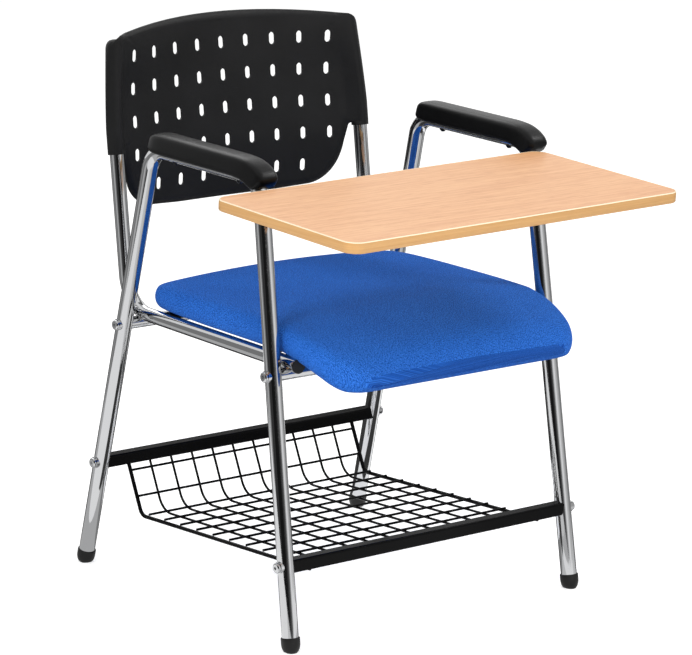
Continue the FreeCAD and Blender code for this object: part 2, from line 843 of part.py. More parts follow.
# Front view of the shell: everything outside this outline is cut away
view = new_sketch(shell, "shell_view", "XZ_Plane")
wide = "rail_spacing / 2 + sleeve_diameter / 2"
sleeve_inside = "rail_spacing / 2 - sleeve_diameter / 2"
CORNER_SHARE = 0.55
half_outline = [
    ("shell_top_half_width", up_lean("shell_corner_top"), "shell_corner_radius"),
    (wide, up_lean("shell_taper_height"), "shell_taper_radius"),
    (wide, up_lean("sleeve_bottom"), None),
    (sleeve_inside, up_lean("sleeve_bottom"), None),
    (sleeve_inside, up_lean("notch_top"), None),
    ("notch_half_width", up_lean("notch_top"), None),
    ("waist_half_width", up_lean("waist_height"), "foot_corner_radius"),
    ("foot_half_width", up_lean("foot_height"), "foot_corner_radius"),
    ("foot_half_width * %s" % CORNER_SHARE, up_lean("shell_bottom"), "2 * foot_corner_radius"),
]
full = [("0", up_lean("shell_arch_corner"), "shell_arch_radius")] + half_outline
mirrored = [("-(%s)" % x, z, r) for x, z, r in reversed(half_outline)]
frame_half = "(rail_spacing / 2 + sleeve_diameter)"
outline(view, [
    ("-" + frame_half, up_lean("shell_bottom - 2 * overrun"), None),
    (frame_half, up_lean("shell_bottom - 2 * overrun"), None),
    (frame_half, up_lean("shell_arch_corner + 2 * overrun"), None),
    ("-" + frame_half, up_lean("shell_arch_corner + 2 * overrun"), None),
])
outline(view, full + mirrored)
trim = shell.newObject("PartDesign::Pocket", "shell_trim")
trim.Profile = view
trim.Type = "ThroughAll"
trim.Midplane = True
doc.recompute()
bores = circles(new_sketch(shell, "upright_bores_sketch", "XY_Plane", up_lean("rail_height")), [
    (sleeve_x, "0", "rail_diameter / 2 + sleeve_clearance"),
    ("-" + sleeve_x, "0", "rail_diameter / 2 + sleeve_clearance"),
])
bore = shell.newObject("PartDesign::Pocket", "upright_bores")
bore.Profile = bores
bore.Reversed = True
bind(bore, "Length", "%s + plug_flange + sleeve_clearance" % up_lean("upright_top_height"))
doc.recompute()

# Slots: rows that sag a little towards the sides, the lowest row shorter
slot_tools = []
lean = math.radians(s.upright_lean_angle)
for row in range(int(s.slot_rows_count)):
    last = row == int(s.slot_rows_count) - 1
    columns = int(s.slot_short_row_count if last else s.slot_columns_count)
    for column in range(columns):
        across = (column - (columns - 1) / 2) * s.slot_pitch_across
        drop = s.slot_row_drop * (2 * across / s.shell_chord) ** 2
        height = s.slot_top_height - row * s.slot_pitch_down - drop
        middle = (height - s.rail_height) / math.cos(lean)
        end = s.slot_width / 2
        straight = s.slot_length / 2 - end
        corners = [V(across - end, 0, middle - straight), V(across - end, 0, middle + straight),
                   V(across + end, 0, middle + straight), V(across + end, 0, middle - straight)]
        top = Part.Arc(corners[1], V(across, 0, middle + s.slot_length / 2), corners[2]).toShape()
        foot = Part.Arc(corners[3], V(across, 0, middle - s.slot_length / 2), corners[0]).toShape()
        ring = Part.Wire([Part.LineSegment(corners[0], corners[1]).toShape(), top,
                          Part.LineSegment(corners[2], corners[3]).toShape(), foot])
        depth = V(0, 2 * (s.shell_set_back + s.shell_sag + s.shell_thickness), 0)
        slot_tools.append(Part.Face(ring).extrude(depth))
slots = plain("slots", Part.makeCompound(slot_tools))
slots.Placement = FreeCAD.Placement(UPRIGHT_FOOT, upright_way)
node(without("back_shell", shell, [slots, screw_cuts[-1], screw_cuts[1]]))

# Screws from behind, through each sleeve into the upright
heads = []
for word, side in SIDES:
    deep = s.sleeve_diameter / 2 - s.shell_screw_length
    at = on_back(side * s.rail_spacing / 2, deep, s.shell_screw_height)
    way = upright_way.multiply(ALONG_Y)
    shank = cylinder("shell_screw_shank_" + word, "shell_screw_diameter / 2",
                     "shell_screw_length + shell_screw_head_height / 2", at, way)
    at = on_back(side * s.rail_spacing / 2, s.sleeve_diameter / 2, s.shell_screw_height)
    head = cylinder("shell_screw_head_" + word, "shell_screw_head / 2", "shell_screw_head_height", at, way)
    heads.append(together("shell_screw_" + word, [shank, head]))
node(group("back_shell_screws", heads))

# Seat tabs on the rails, board, bolts and T-nuts

tabs = []
seat_bolts = []
t_nuts = []
bolt_cuts = []
nut_cuts = []
for word, side in SIDES:
    for end, y in (("front", -s.seat_bolt_front), ("rear", s.seat_bolt_rear)):
        label = "_%s_%s" % (end, word)
        bolt_x = side * s.seat_bolt_spacing / 2
        low = s.seat_tab_top - s.seat_tab_thickness
        near = side * s.rail_spacing / 2
        corner_x = near if side < 0 else near - s.seat_tab_reach
        plate = block("tab_plate" + label, "seat_tab_reach", "seat_tab_width", "seat_tab_thickness",
                      V(corner_x, y - s.seat_tab_width / 2, low))
        hole = cylinder("tab_hole" + label, "seat_bolt_diameter / 2", "seat_tab_thickness + 2 * overrun",
                        V(bolt_x, y, low - s.overrun))
        tabs.append(without("tab" + label, plate, [hole, rail_cores[side]]))
        shank = cylinder("seat_shank" + label, "seat_bolt_diameter / 2",
                         "seat_tab_thickness + t_nut_height", V(bolt_x, y, low))
        head = cylinder("seat_head" + label, "seat_bolt_head / 2", "seat_bolt_head_height",
                        V(bolt_x, y, low - s.seat_bolt_head_height))
        seat_bolts.append(together("seat_bolt" + label, [shank, head]))
        top = s.seat_tab_top + s.board_thickness
        barrel = cylinder("nut_barrel" + label, "t_nut_barrel / 2", "t_nut_height",
                          V(bolt_x, y, top - s.t_nut_height))
        flange = cylinder("nut_flange" + label, "t_nut_flange / 2", "t_nut_flange_height",
                          V(bolt_x, y, top - s.t_nut_flange_height))
        thread = cylinder("nut_thread" + label, "seat_bolt_diameter / 2", "2 * t_nut_height",
                          V(bolt_x, y, s.seat_tab_top))
        t_nuts.append(without("t_nut" + label, together("nut_blank" + label, [barrel, flange]), [thread]))
        nut_cuts.append(together("nut_seat" + label, [barrel, flange]))
        bolt_cuts.append(cylinder("nut_way" + label, "seat_bolt_diameter / 2", "board_thickness",
                                  V(bolt_x, y, s.seat_tab_top)))
node(group("seat_tabs", tabs))
node(group("seat_bolts", seat_bolts))
node(group("seat_t_nuts", t_nuts))

board = new_body("seat_board_blank")
face = new_sketch(board, "seat_board_outline", "XY_Plane", "seat_tab_top")
outline(face, [
    ("-board_half_width", "-board_front", "board_corner_radius"),
    ("board_half_width", "-board_front", "board_corner_radius"),
    ("board_half_width", "board_rear", "board_corner_radius"),
    ("-board_half_width", "board_rear", "board_corner_radius"),
])
pad(board, "seat_board_plate", face, "board_thickness")
node(without("seat_board", board, nut_cuts + bolt_cuts))

# Cushion: crowned on top, drawn in at the sides, rolled over in front


def cushion_section(y, top, bottom, half):
    """One cross-section: flat below, one round arc up each side, a crown over the top."""
    deep = top - bottom
    round_share = CUSHION_WIDEST_SHARE
    above_share = 1 - CUSHION_CROWN_SHARE - round_share
    shoulder_share = round_share - math.sqrt(round_share ** 2 - above_share ** 2)
    low = V(half - deep * round_share, y, bottom)
    wide_at = V(half, y, bottom + deep * round_share)
    shoulder = V(half - deep * shoulder_share, y, top - deep * CUSHION_CROWN_SHARE)
    crown = V(0, y, top)

    def flip(p):
        return V(-p.x, p.y, p.z)
    return Part.Wire([
        Part.LineSegment(flip(low), low).toShape(),
        Part.Arc(low, wide_at, shoulder).toShape(),
        Part.Arc(shoulder, crown, flip(shoulder)).toShape(),
        Part.Arc(flip(shoulder), flip(wide_at), flip(low)).toShape(),
    ])


CUSHION_WIDEST_SHARE = 0.42
CUSHION_CROWN_SHARE = 0.20
length = s.cushion_rear + s.cushion_front
flat = s.cushion_top - s.cushion_bottom
nose = s.cushion_top - s.cushion_nose_bottom
# shares of the length from the rear, of the height over the flat underside (top,
# then bottom), of the half width, and of the nose's depth below it
cushion_shares = [
    (0.000, 0.45, 0.25, 0.740, 0.00),
    (0.012, 0.68, 0.10, 0.860, 0.00),
    (0.040, 0.85, 0.02, 0.930, 0.00),
    (0.090, 0.91, 0.00, 0.968, 0.00),
    (0.164, 0.95, 0.00, 0.986, 0.00),
    (0.363, 0.98, 0.00, 1.000, 0.00),
    (0.560, 1.00, 0.00, 1.000, 0.00),
    (0.700, 0.98, 0.00, 1.000, 0.00),
    (0.761, 0.92, 0.00, 0.994, 0.12),
    (0.824, 0.81, 0.00, 0.982, 0.34),
    (0.882, 0.67, 0.00, 0.962, 0.62),
    (0.923, 0.54, 0.00, 0.940, 0.84),
    (0.959, 0.36, 0.00, 0.900, 0.96),
    (0.984, 0.12, 0.00, 0.845, 0.94),
    (1.000, -0.19, 0.00, 0.770, 0.76),
]


def slope_between(points, column, i):
    a, b = points[i], points[i + 1]
    return (b[column] - a[column]) / (b[0] - a[0])


def smooth(points, column, t):
    """Value of one column at t, through every point and with no overshoot."""
    last = len(points) - 1
    tangents = [slope_between(points, column, 0)]
    for i in range(1, last):
        a = slope_between(points, column, i - 1)
        b = slope_between(points, column, i)
        tangents.append(2 * a * b / (a + b) if a * b > 0 else 0.0)
    tangents.append(slope_between(points, column, last - 1))
    i = max(k for k in range(last) if points[k][0] <= t)
    step = points[i + 1][0] - points[i][0]
    u = (t - points[i][0]) / step
    return ((1 + 2 * u) * (1 - u) ** 2 * points[i][column] + u * (1 - u) ** 2 * step * tangents[i]
            + u ** 2 * (3 - 2 * u) * points[i + 1][column] - u ** 2 * (1 - u) * step * tangents[i + 1])


sections = []
stations = int(s.cushion_stations_count)
for k in range(stations):
    along = (1 - math.cos(math.pi * k / (stations - 1))) / 2
    high, low, width, roll = [smooth(cushion_shares, column, along) for column in range(1, 5)]
    y = s.cushion_rear - along * length
    top = s.cushion_bottom + high * flat
    bottom = s.cushion_bottom + low * flat - roll * (nose - flat)
    sections.append(cushion_section(y, top, bottom, width * s.cushion_half_width))
cushion_blank = plain("cushion_blank", Part.makeLoft(sections, True, True))
recess = new_body("cushion_recess")
hollow = new_sketch(recess, "cushion_recess_outline", "XY_Plane", "cushion_nose_bottom - overrun")
outline(hollow, [
    ("-board_half_width - cushion_clearance", "-board_front - cushion_clearance", "board_corner_radius"),
    ("board_half_width + cushion_clearance", "-board_front - cushion_clearance", "board_corner_radius"),
    ("board_half_width + cushion_clearance", "board_rear + cushion_clearance", "board_corner_radius"),
    ("-board_half_width - cushion_clearance", "board_rear + cushion_clearance", "board_corner_radius"),
])
pad(recess, "cushion_recess_block", hollow,
    "seat_tab_top + board_thickness + cushion_clearance - cushion_nose_bottom + overrun")
rail_room = [
    cylinder("rail_room_" + word, "rail_diameter / 2 + rail_room",
             "rail_front_reach + plug_flange + rail_room + cushion_rear",
             V(side * s.rail_spacing / 2, -s.rail_front_reach - s.plug_flange - s.rail_room, s.rail_height),
             ALONG_Y)
    for word, side in SIDES]
node(without("seat_cushion", cushion_blank, [recess] + rail_room))

# Arm pads wrapped over the arm tubes, with a steel strip and two screws each

arm_x = val(frame_x("arm_height"))
tube_top = "arm_height + leg_diameter / 2"
pad_profile = [
    ("pad_rear", "pad_bottom", None),
    ("pad_rear", "pad_top", "pad_rear_radius"),
    ("-pad_flat_front", "pad_top", "2 * pad_rear_radius"),
    ("-pad_tip", "pad_tip_height", "pad_rear_radius / 2"),
    ("-pad_nose", "pad_nose_height", None),
    ("-pad_tip + pad_rear_radius / 2", "pad_nose_height - pad_rear_radius / 4", None),
    ("-pad_flat_front + pad_rear_radius / 2", "pad_bottom", None),
]
pad_section = [
    ("-pad_width / 2 + pad_rear_radius / 8", "pad_nose_height - pad_rear_radius", None),
    ("pad_width / 2 - pad_rear_radius / 8", "pad_nose_height - pad_rear_radius", None),
    ("pad_width / 2", "pad_shoulder", "pad_rear_radius / 2"),
    ("pad_top_width / 2", "pad_top", "pad_rear_radius / 3"),
    ("-pad_top_width / 2", "pad_top", "pad_rear_radius / 3"),
    ("-pad_width / 2", "pad_shoulder", "pad_rear_radius / 2"),
]
strips = []
pad_screws = []
for word, side in SIDES:
    centre = "%s%s" % ("-" if side < 0 else "", frame_x("arm_height"))
    long_shape = new_body("pad_side_" + word)
    sk = outline(new_sketch(long_shape, "pad_side_view_" + word, "YZ_Plane", centre), pad_profile)
    pad(long_shape, "pad_side_block_" + word, sk, "2 * pad_width", both=True)
    cross_shape = new_body("pad_cross_" + word)
    cross_shape.Placement = FreeCAD.Placement(V(side * arm_x, 0, 0), LEVEL)
    sk = outline(new_sketch(cross_shape, "pad_cross_view_" + word, "XZ_Plane"), pad_section)
    pad(cross_shape, "pad_cross_block_" + word, sk, "3 * (pad_nose + pad_rear)", both=True)
    strip_low = V(side * arm_x - s.strip_width / 2, -s.strip_front, val(tube_top))
    strip = block("strip_" + word, "strip_width", "strip_front + strip_rear", "strip_thickness", strip_low)
    strip_cut = block("strip_cut_" + word, "strip_width", "strip_front + strip_rear",
                      "strip_thickness + leg_wall", strip_low - V(0, 0, s.leg_wall))
    holes = []
    for end, y in (("front", -s.pad_screw_front), ("rear", s.pad_screw_rear)):
        under = V(side * arm_x, y, s.arm_height - s.leg_diameter / 2)
        shank = cylinder("pad_shank_%s_%s" % (end, word), "pad_screw_diameter / 2",
                         "leg_diameter + strip_thickness", under)
        head = doc.addObject("Part::Cone", "pad_head_%s_%s" % (end, word))
        bind(head, "Radius1", "pad_screw_head / 4")
        bind(head, "Radius2", "pad_screw_head / 2")
        bind(head, "Height", "pad_screw_head_height")
        head.Placement = FreeCAD.Placement(under - V(0, 0, s.pad_screw_head_height), LEVEL)
        pad_screws.append(together("pad_screw_%s_%s" % (end, word), [shank, head]))
        holes.append(cylinder("strip_hole_%s_%s" % (end, word), "pad_screw_diameter / 2",
                              "leg_diameter + strip_thickness", under))
    strips.append(without("pad_strip_" + word, strip, holes))
    blank = shared("pad_blank_" + word, long_shape, cross_shape)
    grooved = without("pad_grooved_" + word, blank, [arm_cores[side]])
    node(without("arm_pad_" + word, grooved, [strip_cut]))
node(group("arm_pad_strips", strips))
node(group("arm_pad_screws", pad_screws))

# Basket bars between the legs, rounded square tube with saddle ends

bar_cores = {}
for end, front in ENDS:
    height = basket_heights[front]
    middle = front_y(height) if front else rear_y(height)
    ring_corners = [(cx, cy, r) for cx, cy, r in [
        ("%s - bar_width / 2" % middle, "%s - bar_width / 2" % height, "bar_corner_radius"),
        ("%s + bar_width / 2" % middle, "%s - bar_width / 2" % height, "bar_corner_radius"),
        ("%s + bar_width / 2" % middle, "%s + bar_width / 2" % height, "bar_corner_radius"),
        ("%s - bar_width / 2" % middle, "%s + bar_width / 2" % height, "bar_corner_radius"),
    ]]
    inside = [(cx + sx, cy + sy, "bar_corner_radius - bar_wall") for (cx, cy, r), (sx, sy) in zip(
        ring_corners, ((" + bar_wall", " + bar_wall"), (" - bar_wall", " + bar_wall"),
                       (" - bar_wall", " - bar_wall"), (" + bar_wall", " - bar_wall")))]
    core = new_body("bar_core_" + end)
    sk = outline(new_sketch(core, "bar_core_view_" + end, "YZ_Plane"), ring_corners)
    pad(core, "bar_core_block_" + end, sk, "2 * %s" % frame_x(height), both=True)
    bar_cores[front] = core
    bar = new_body("bar_blank_" + end)
    sk = outline(new_sketch(bar, "bar_view_" + end, "YZ_Plane"), ring_corners)
    outline(sk, inside)
    pad(bar, "bar_block_" + end, sk, "2 * %s" % frame_x(height), both=True)
    node(without("basket_%s_bar" % end, bar, [leg_cores[-1, front], leg_cores[1, front]]))
node(four_inserts("basket_bar_inserts", basket_heights, "bar_width / 2 - bar_wall"))

# Basket wires: two thick end wires, long wires front to back, straight cross wires

BAR_LOW_FRONT = "basket_front_height - bar_width / 2 - wire_weld_gap"


def wire_corners(radius, bend):
    under = "(%s - %s)" % (BAR_LOW_FRONT, radius)
    return [
        ("-basket_front_lip", under, None),
        ("basket_heel_reach", "basket_heel_height", bend),
        ("basket_rear_lip", "basket_rear_height - bar_width / 4", None),
    ]


end_wires = []
for word, side in SIDES:
    wire = new_body("end_wire_" + word)
    bent_tube(wire, wire_corners("end_wire_diameter / 2", "end_wire_bend"), "end_wire_diameter / 2", None,
              lifted(side, "end_wire_spacing / 2"))
    end_wires.append(wire)
doc.recompute()
end_cut = [without("end_wire_cut_" + wire.Name, wire, [bar_cores[False]]) for wire in end_wires]
node(group("basket_end_wires", end_cut))

long_wire = new_body("long_wire_master")
route = bent_tube(long_wire, wire_corners("long_wire_diameter / 2", "long_wire_bend"),
                  "long_wire_diameter / 2", None)
long_cut = without("long_wire_cut", long_wire, [bar_cores[False]])
count = int(s.long_wires_count)
long_pitch = s.end_wire_spacing / (count + 1)
places = []
for i in range(count):
    places.append(FreeCAD.Placement(V((i - (count - 1) / 2) * long_pitch, 0, 0), LEVEL))
node(copies("basket_long_wires", long_cut, places))

floor_edges = route.Shape.Edges
stations = []
for i in range(int(s.cross_wires_count)):
    distance = s.cross_wire_start + i * s.cross_wire_pitch
    for edge in floor_edges:
        if distance <= edge.Length:
            spot = edge.getParameterByLength(distance)
            stations.append((edge.valueAt(spot), edge.tangentAt(spot)))
            break
        distance = distance - edge.Length
cross_shapes = []
offset = (s.long_wire_diameter + s.cross_wire_diameter) / 2 + s.wire_weld_gap
for point, along in stations:
    inward = V(0, -along.z, along.y)
    start = point + inward * offset
    start.x = (s.end_wire_diameter / 2 - s.end_wire_spacing) / 2
    cross_shapes.append(Part.makeCylinder(s.cross_wire_diameter / 2, -2 * start.x, start, X_AXIS))
cross_blank = plain("cross_wires_blank", Part.makeCompound(cross_shapes))
node(without("basket_cross_wires", cross_blank, end_wires))

# Writing tablet and its hinge, in the tablet's own frame: origin at the middle
# of its top face, x along the long side, y to the back, z square to the face

tablet_way = turn(Z_AXIS, s.tablet_yaw_angle).multiply(turn(X_AXIS, s.tablet_tilt_angle))
TABLET_AT = V(-s.tablet_offset_right, -s.tablet_offset_front, s.tablet_height)
tablet_place = FreeCAD.Placement(TABLET_AT, tablet_way)


def in_tablet(obj):
    obj.Placement = tablet_place.multiply(obj.Placement)
    return obj


leaf_top = -s.tablet_thickness
leaf_low = leaf_top - s.leaf_thickness
hinge_x = -s.hinge_from_middle
hinge_z = -s.hinge_drop
plate_top = hinge_z - s.bracket_below_pin
knuckle_step = s.knuckle_length + s.knuckle_gap
middle_y = s.hinge_middle_rear

panel = new_body("tablet_panel")
inner = "edge_band_thickness"
sk = outline(new_sketch(panel, "tablet_panel_view", "XY_Plane"),
             rectangle("tablet_length / 2 - " + inner, "tablet_depth / 2 - " + inner,
                       "tablet_corner_radius - " + inner))
pad(panel, "tablet_panel_block", sk, "tablet_thickness", back=True)
band = new_body("tablet_edge_band")
sk = outline(new_sketch(band, "tablet_band_view", "XY_Plane"),
             rectangle("tablet_length / 2", "tablet_depth / 2", "tablet_corner_radius"))
outline(sk, rectangle("tablet_length / 2 - " + inner, "tablet_depth / 2 - " + inner,
                      "tablet_corner_radius - " + inner))
pad(band, "tablet_band_ring", sk, "tablet_thickness", back=True)
node(band, True)

# Moving leaf with its middle knuckle
leaf_x = hinge_x - s.leaf_tail
leaf_y = middle_y - s.leaf_width / 2
plate = block("leaf_plate", "leaf_length", "leaf_width", "leaf_thickness", V(leaf_x, leaf_y, leaf_low))
knuckle_start = V(hinge_x, middle_y - s.knuckle_length / 2, hinge_z)
knuckle = cylinder("leaf_knuckle", "knuckle_diameter / 2", "knuckle_length", knuckle_start, ALONG_Y)
web = block("leaf_web", "leaf_tail * 2", "knuckle_length", "hinge_drop - tablet_thickness",
            V(leaf_x, middle_y - s.knuckle_length / 2, hinge_z))
pin_way = cylinder("leaf_pin_way", "hinge_pin_diameter / 2 + hinge_running_gap",
                   "knuckle_length + 2 * overrun", knuckle_start - V(0, s.overrun, 0), ALONG_Y)
leaf_holes = []
leaf_screws = []
panel_holes = []
for i, (along, across) in enumerate(((0.4, -0.38), (0.4, 0.38), (0.85, -0.38), (0.85, 0.38))):
    x = leaf_x + along * s.leaf_length
    y = middle_y + across * s.leaf_width
    under = V(x, y, leaf_low)
    shank_length = "leaf_screw_length"
    leaf_holes.append(cylinder("leaf_hole_%d" % i, "leaf_screw_diameter / 2", shank_length, under))
    panel_holes.append(cylinder("panel_hole_%d" % i, "leaf_screw_diameter / 2", shank_length, under))
    shank = cylinder("leaf_shank_%d" % i, "leaf_screw_diameter / 2", shank_length, under)
    head = cylinder("leaf_head_%d" % i, "leaf_screw_head / 2", "leaf_screw_head_height",
                    under - V(0, 0, s.leaf_screw_head_height))
    leaf_screws.append(together("leaf_screw_%d" % i, [shank, head]))
leaf = without("tablet_hinge_leaf", together("leaf_blank", [plate, knuckle, web]), [pin_way] + leaf_holes)
node(leaf, True)
node(group("tablet_leaf_screws", leaf_screws), True)
node(without("tablet_board", panel, panel_holes), True)

# Pin through all three knuckles
pin_start = V(hinge_x, middle_y - s.knuckle_length / 2 - knuckle_step, hinge_z)
node(cylinder("tablet_hinge_pin", "hinge_pin_diameter / 2",
              "3 * knuckle_length + 2 * knuckle_gap", pin_start, ALONG_Y), True)

# Bracket: shelf plate, two fixed knuckles on webs, reaching back to the clamp
leg_spot = tablet_place.inverse().multVec(leg_point(-1, True, "arm_height - clamp_below_top"))
clamp_front = leg_spot.y - s.clamp_half
shelf_x = hinge_x - s.bracket_tail
shelf = doc.addObject("Part::Box", "bracket_shelf")
bind(shelf, "Length", "bracket_length")
bind(shelf, "Height", "bracket_thickness")
shelf.Width = clamp_front - s.bracket_front
shelf.Placement = FreeCAD.Placement(V(shelf_x, s.bracket_front, plate_top - s.bracket_thickness), LEVEL)
bracket_parts = [shelf]
for i, way in enumerate((-1, 1)):
    start_y = middle_y - s.knuckle_length / 2 + way * knuckle_step
    bracket_parts.append(cylinder("fixed_knuckle_%d" % i, "knuckle_diameter / 2", "knuckle_length",
                                  V(hinge_x, start_y, hinge_z), ALONG_Y))
    bracket_parts.append(block("fixed_web_%d" % i, "web_width", "knuckle_length", "bracket_below_pin",
                               V(hinge_x - s.web_width / 2, start_y, plate_top)))
fixed_way = cylinder("fixed_pin_way", "hinge_pin_diameter / 2", "5 * knuckle_length",
                     V(hinge_x, middle_y - 2 * knuckle_step, hinge_z), ALONG_Y)
node(without("tablet_bracket", together("bracket_blank", bracket_parts), [fixed_way]), True)

# Rubber pads on the shelf that the board comes down on
rests = []
rest_x = shelf_x + s.bracket_length - s.rest_pad_inset
for i, y in enumerate((s.bracket_front + s.rest_pad_inset, s.tablet_depth / 2 - s.rest_pad_inset)):
    rest = doc.addObject("Part::Cylinder", "rest_pad_%d" % i)
    bind(rest, "Radius", "rest_pad_diameter / 2")
    bind(rest, "Height", "hinge_drop + bracket_below_pin - tablet_thickness - rest_pad_gap")
    rest.Placement = FreeCAD.Placement(V(rest_x, y, plate_top), LEVEL)
    rests.append(rest)
node(group("tablet_rest_pads", rests), True)

# Clamp in two halves round the front right leg, and its two bolts
halves = []
clamp_bolts = []
clamp_cuts = []
low_z = leg_spot.z - s.clamp_height / 2
for i, way in enumerate((-1, 1)):
    x = leg_spot.x + way * s.clamp_bolt_side
    bolt_start = V(x, clamp_front, low_z + s.clamp_height / 2)
    clamp_cuts.append(cylinder("clamp_bolt_way_%d" % i, "clamp_bolt_diameter / 2", "2 * clamp_half",
                               bolt_start, ALONG_Y))
    shank = cylinder("clamp_shank_%d" % i, "clamp_bolt_diameter / 2", "2 * clamp_half", bolt_start, ALONG_Y)
    head = cylinder("clamp_head_%d" % i, "clamp_bolt_head / 2", "clamp_bolt_head_height",
                    bolt_start + V(0, 2 * s.clamp_half, 0), ALONG_Y)
    clamp_bolts.append(together("clamp_bolt_%d" % i, [shank, head]))
split_y = leg_spot.y
for i, (y, deep) in enumerate(((clamp_front, "clamp_half - clamp_split / 2"),
                               (split_y + s.clamp_split / 2, "clamp_half - clamp_split / 2"))):
    half = block("clamp_half_%d" % i, "2 * clamp_half", deep, "clamp_height",
                 V(leg_spot.x - s.clamp_half, y, low_z))
    halves.append(half)
cuts = [in_tablet(c) for c in clamp_cuts]
pieces = [without("clamp_piece_%d" % i, in_tablet(half), cuts + [leg_cores[-1, True]])
          for i, half in enumerate(halves)]
node(group("tablet_clamp", pieces))
node(group("tablet_clamp_bolts", clamp_bolts), True)

# Reference point at the middle of the finished box, on the floor

doc.recompute()


def check():
    for obj in doc.Objects:
        if "Invalid" in obj.State or "Error" in obj.State:
            raise RuntimeError("failed object " + obj.Name + " " + str(obj.State))
    for name, (obj, _) in nodes.items():
        if obj.Shape.isNull() or not obj.Shape.isValid():
            raise RuntimeError("bad shape " + name)


for name, (obj, tilted) in nodes.items():
    if tilted:
        obj.Placement = tablet_place.multiply(obj.Placement)
doc.recompute()
check()
low = V(math.inf, math.inf, math.inf)
high = V(-math.inf, -math.inf, -math.inf)
for name, (obj, _) in nodes.items():
    box = obj.Shape.optimalBoundingBox(False, False)
    low = V(min(low.x, box.XMin), min(low.y, box.YMin), min(low.z, box.ZMin))
    high = V(max(high.x, box.XMax), max(high.y, box.YMax), max(high.z, box.ZMax))
for word, number in (("origin_x", (low.x + high.x) / 2), ("origin_y", (low.y + high.y) / 2),
                     ("origin_z", low.z)):
    sheet.set(cells[word], repr(number))
for name, (obj, _) in nodes.items():
    base = obj.Placement.Base
    for axis in "xyz":
        bind(obj, ".Placement.Base." + axis, "%r - origin_%s" % (getattr(base, axis), axis))
    obj.Label = name
doc.recompute()
check()
print("box %.2f %.2f %.2f" % (high.x - low.x, high.y - low.y, high.z - low.z))
print("origin %.4f %.4f %.4f" % (val("origin_x"), val("origin_y"), val("origin_z")))

os.makedirs("parts", exist_ok=True)
for name, (obj, _) in nodes.items():
    obj.Shape.exportStep(os.path.join("parts", name + ".step"))
print("%d nodes" % len(nodes))
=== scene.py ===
# %% [markdown]
# A training chair with a writing tablet
# This lesson dresses a finished CAD model of the chair. The CAD gives every
# tube, bolt and board its size and place; here we give them their finish, and
# we rebuild the soft and the shiny pieces as smooth surfaces. Everything is in
# metres, +Z up, and the front of the chair faces -Y.

# %% Load the CAD model
import bpy
import math
import numpy as np
from mathutils import Matrix, Vector


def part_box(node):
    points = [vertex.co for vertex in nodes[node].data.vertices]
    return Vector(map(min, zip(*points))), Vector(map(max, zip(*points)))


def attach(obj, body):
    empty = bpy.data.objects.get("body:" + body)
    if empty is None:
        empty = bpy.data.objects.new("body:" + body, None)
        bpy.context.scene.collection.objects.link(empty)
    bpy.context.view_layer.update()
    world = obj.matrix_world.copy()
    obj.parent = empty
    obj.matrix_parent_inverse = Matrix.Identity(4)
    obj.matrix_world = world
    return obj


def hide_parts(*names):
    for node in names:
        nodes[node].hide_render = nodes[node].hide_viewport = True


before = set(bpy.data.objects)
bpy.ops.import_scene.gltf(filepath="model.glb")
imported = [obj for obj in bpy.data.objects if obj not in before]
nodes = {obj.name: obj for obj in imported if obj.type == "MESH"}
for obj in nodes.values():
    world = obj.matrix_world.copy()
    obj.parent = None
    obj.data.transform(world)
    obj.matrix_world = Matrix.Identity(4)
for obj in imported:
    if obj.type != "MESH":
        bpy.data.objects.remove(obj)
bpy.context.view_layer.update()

# %% [markdown]
# The drawing of the chair has its own middle, half way between the two side
# frames and at seat centre. The CAD model stands with the middle of its whole
# box at zero, so a point of the drawing moves by one fixed step.

# %% Drawing to model
mid_x = (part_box("side_frame_right")[0].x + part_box("side_frame_left")[1].x) / 2
BOARD_FRONT = 0.226
mid_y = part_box("seat_board")[0].y + BOARD_FRONT
MIDDLE = np.array([mid_x, mid_y, 0.0])
print("middle of the drawing", np.round(MIDDLE, 4))


def placed(points):
    """Drawing coordinates in metres to model coordinates."""
    return np.asarray(points, float) + MIDDLE


# %% [markdown]
# Meshes from arrays
# A surface here is a function of two parameters on a grid. numpy works out all
# the points at once and from_pydata hands them to Blender. A grid that wraps
# round in u is a tube; its open ends are closed with one face each. Every face
# has to look outward: the signed volume under the quads tells, and where it is
# negative all faces are turned over. Edges sharper than 50 degrees stay crisp.

# %% Grid to mesh
CRISP_ANGLE = math.radians(50)


def grid_mesh(name, grid, wrap=True, caps=True, smooth=True):
    """grid[i, j] is the point at station i along and step j around; quads join neighbours."""
    rows, cols = grid.shape[:2]
    i, j = np.meshgrid(np.arange(rows - 1), np.arange(cols if wrap else cols - 1), indexing="ij")
    k = (j + 1) % cols
    corners = [i * cols + j, (i + 1) * cols + j, (i + 1) * cols + k, i * cols + k]
    quads = np.stack(corners, -1).reshape(-1, 4)
    faces = quads.tolist()
    if wrap and caps:
        faces.append(list(range(cols)))
        faces.append([(rows - 1) * cols + n for n in range(cols)][::-1])
    flat = grid.reshape(-1, 3) - grid.reshape(-1, 3).mean(0)
    a, b, c, d = (flat[quads[:, n]] for n in range(4))
    if wrap and (a * (np.cross(b, c) + np.cross(c, d))).sum() < 0:
        faces = [face[::-1] for face in faces]
    mesh = bpy.data.meshes.new(name)
    mesh.from_pydata(grid.reshape(-1, 3).tolist(), [], faces)
    mesh.validate()
    mesh.update()
    mesh.polygons.foreach_set("use_smooth", [smooth] * len(mesh.polygons))
    if smooth:
        mesh.set_sharp_from_angle(angle=CRISP_ANGLE)
    obj = bpy.data.objects.new(name, mesh)
    bpy.context.scene.collection.objects.link(obj)
    return obj


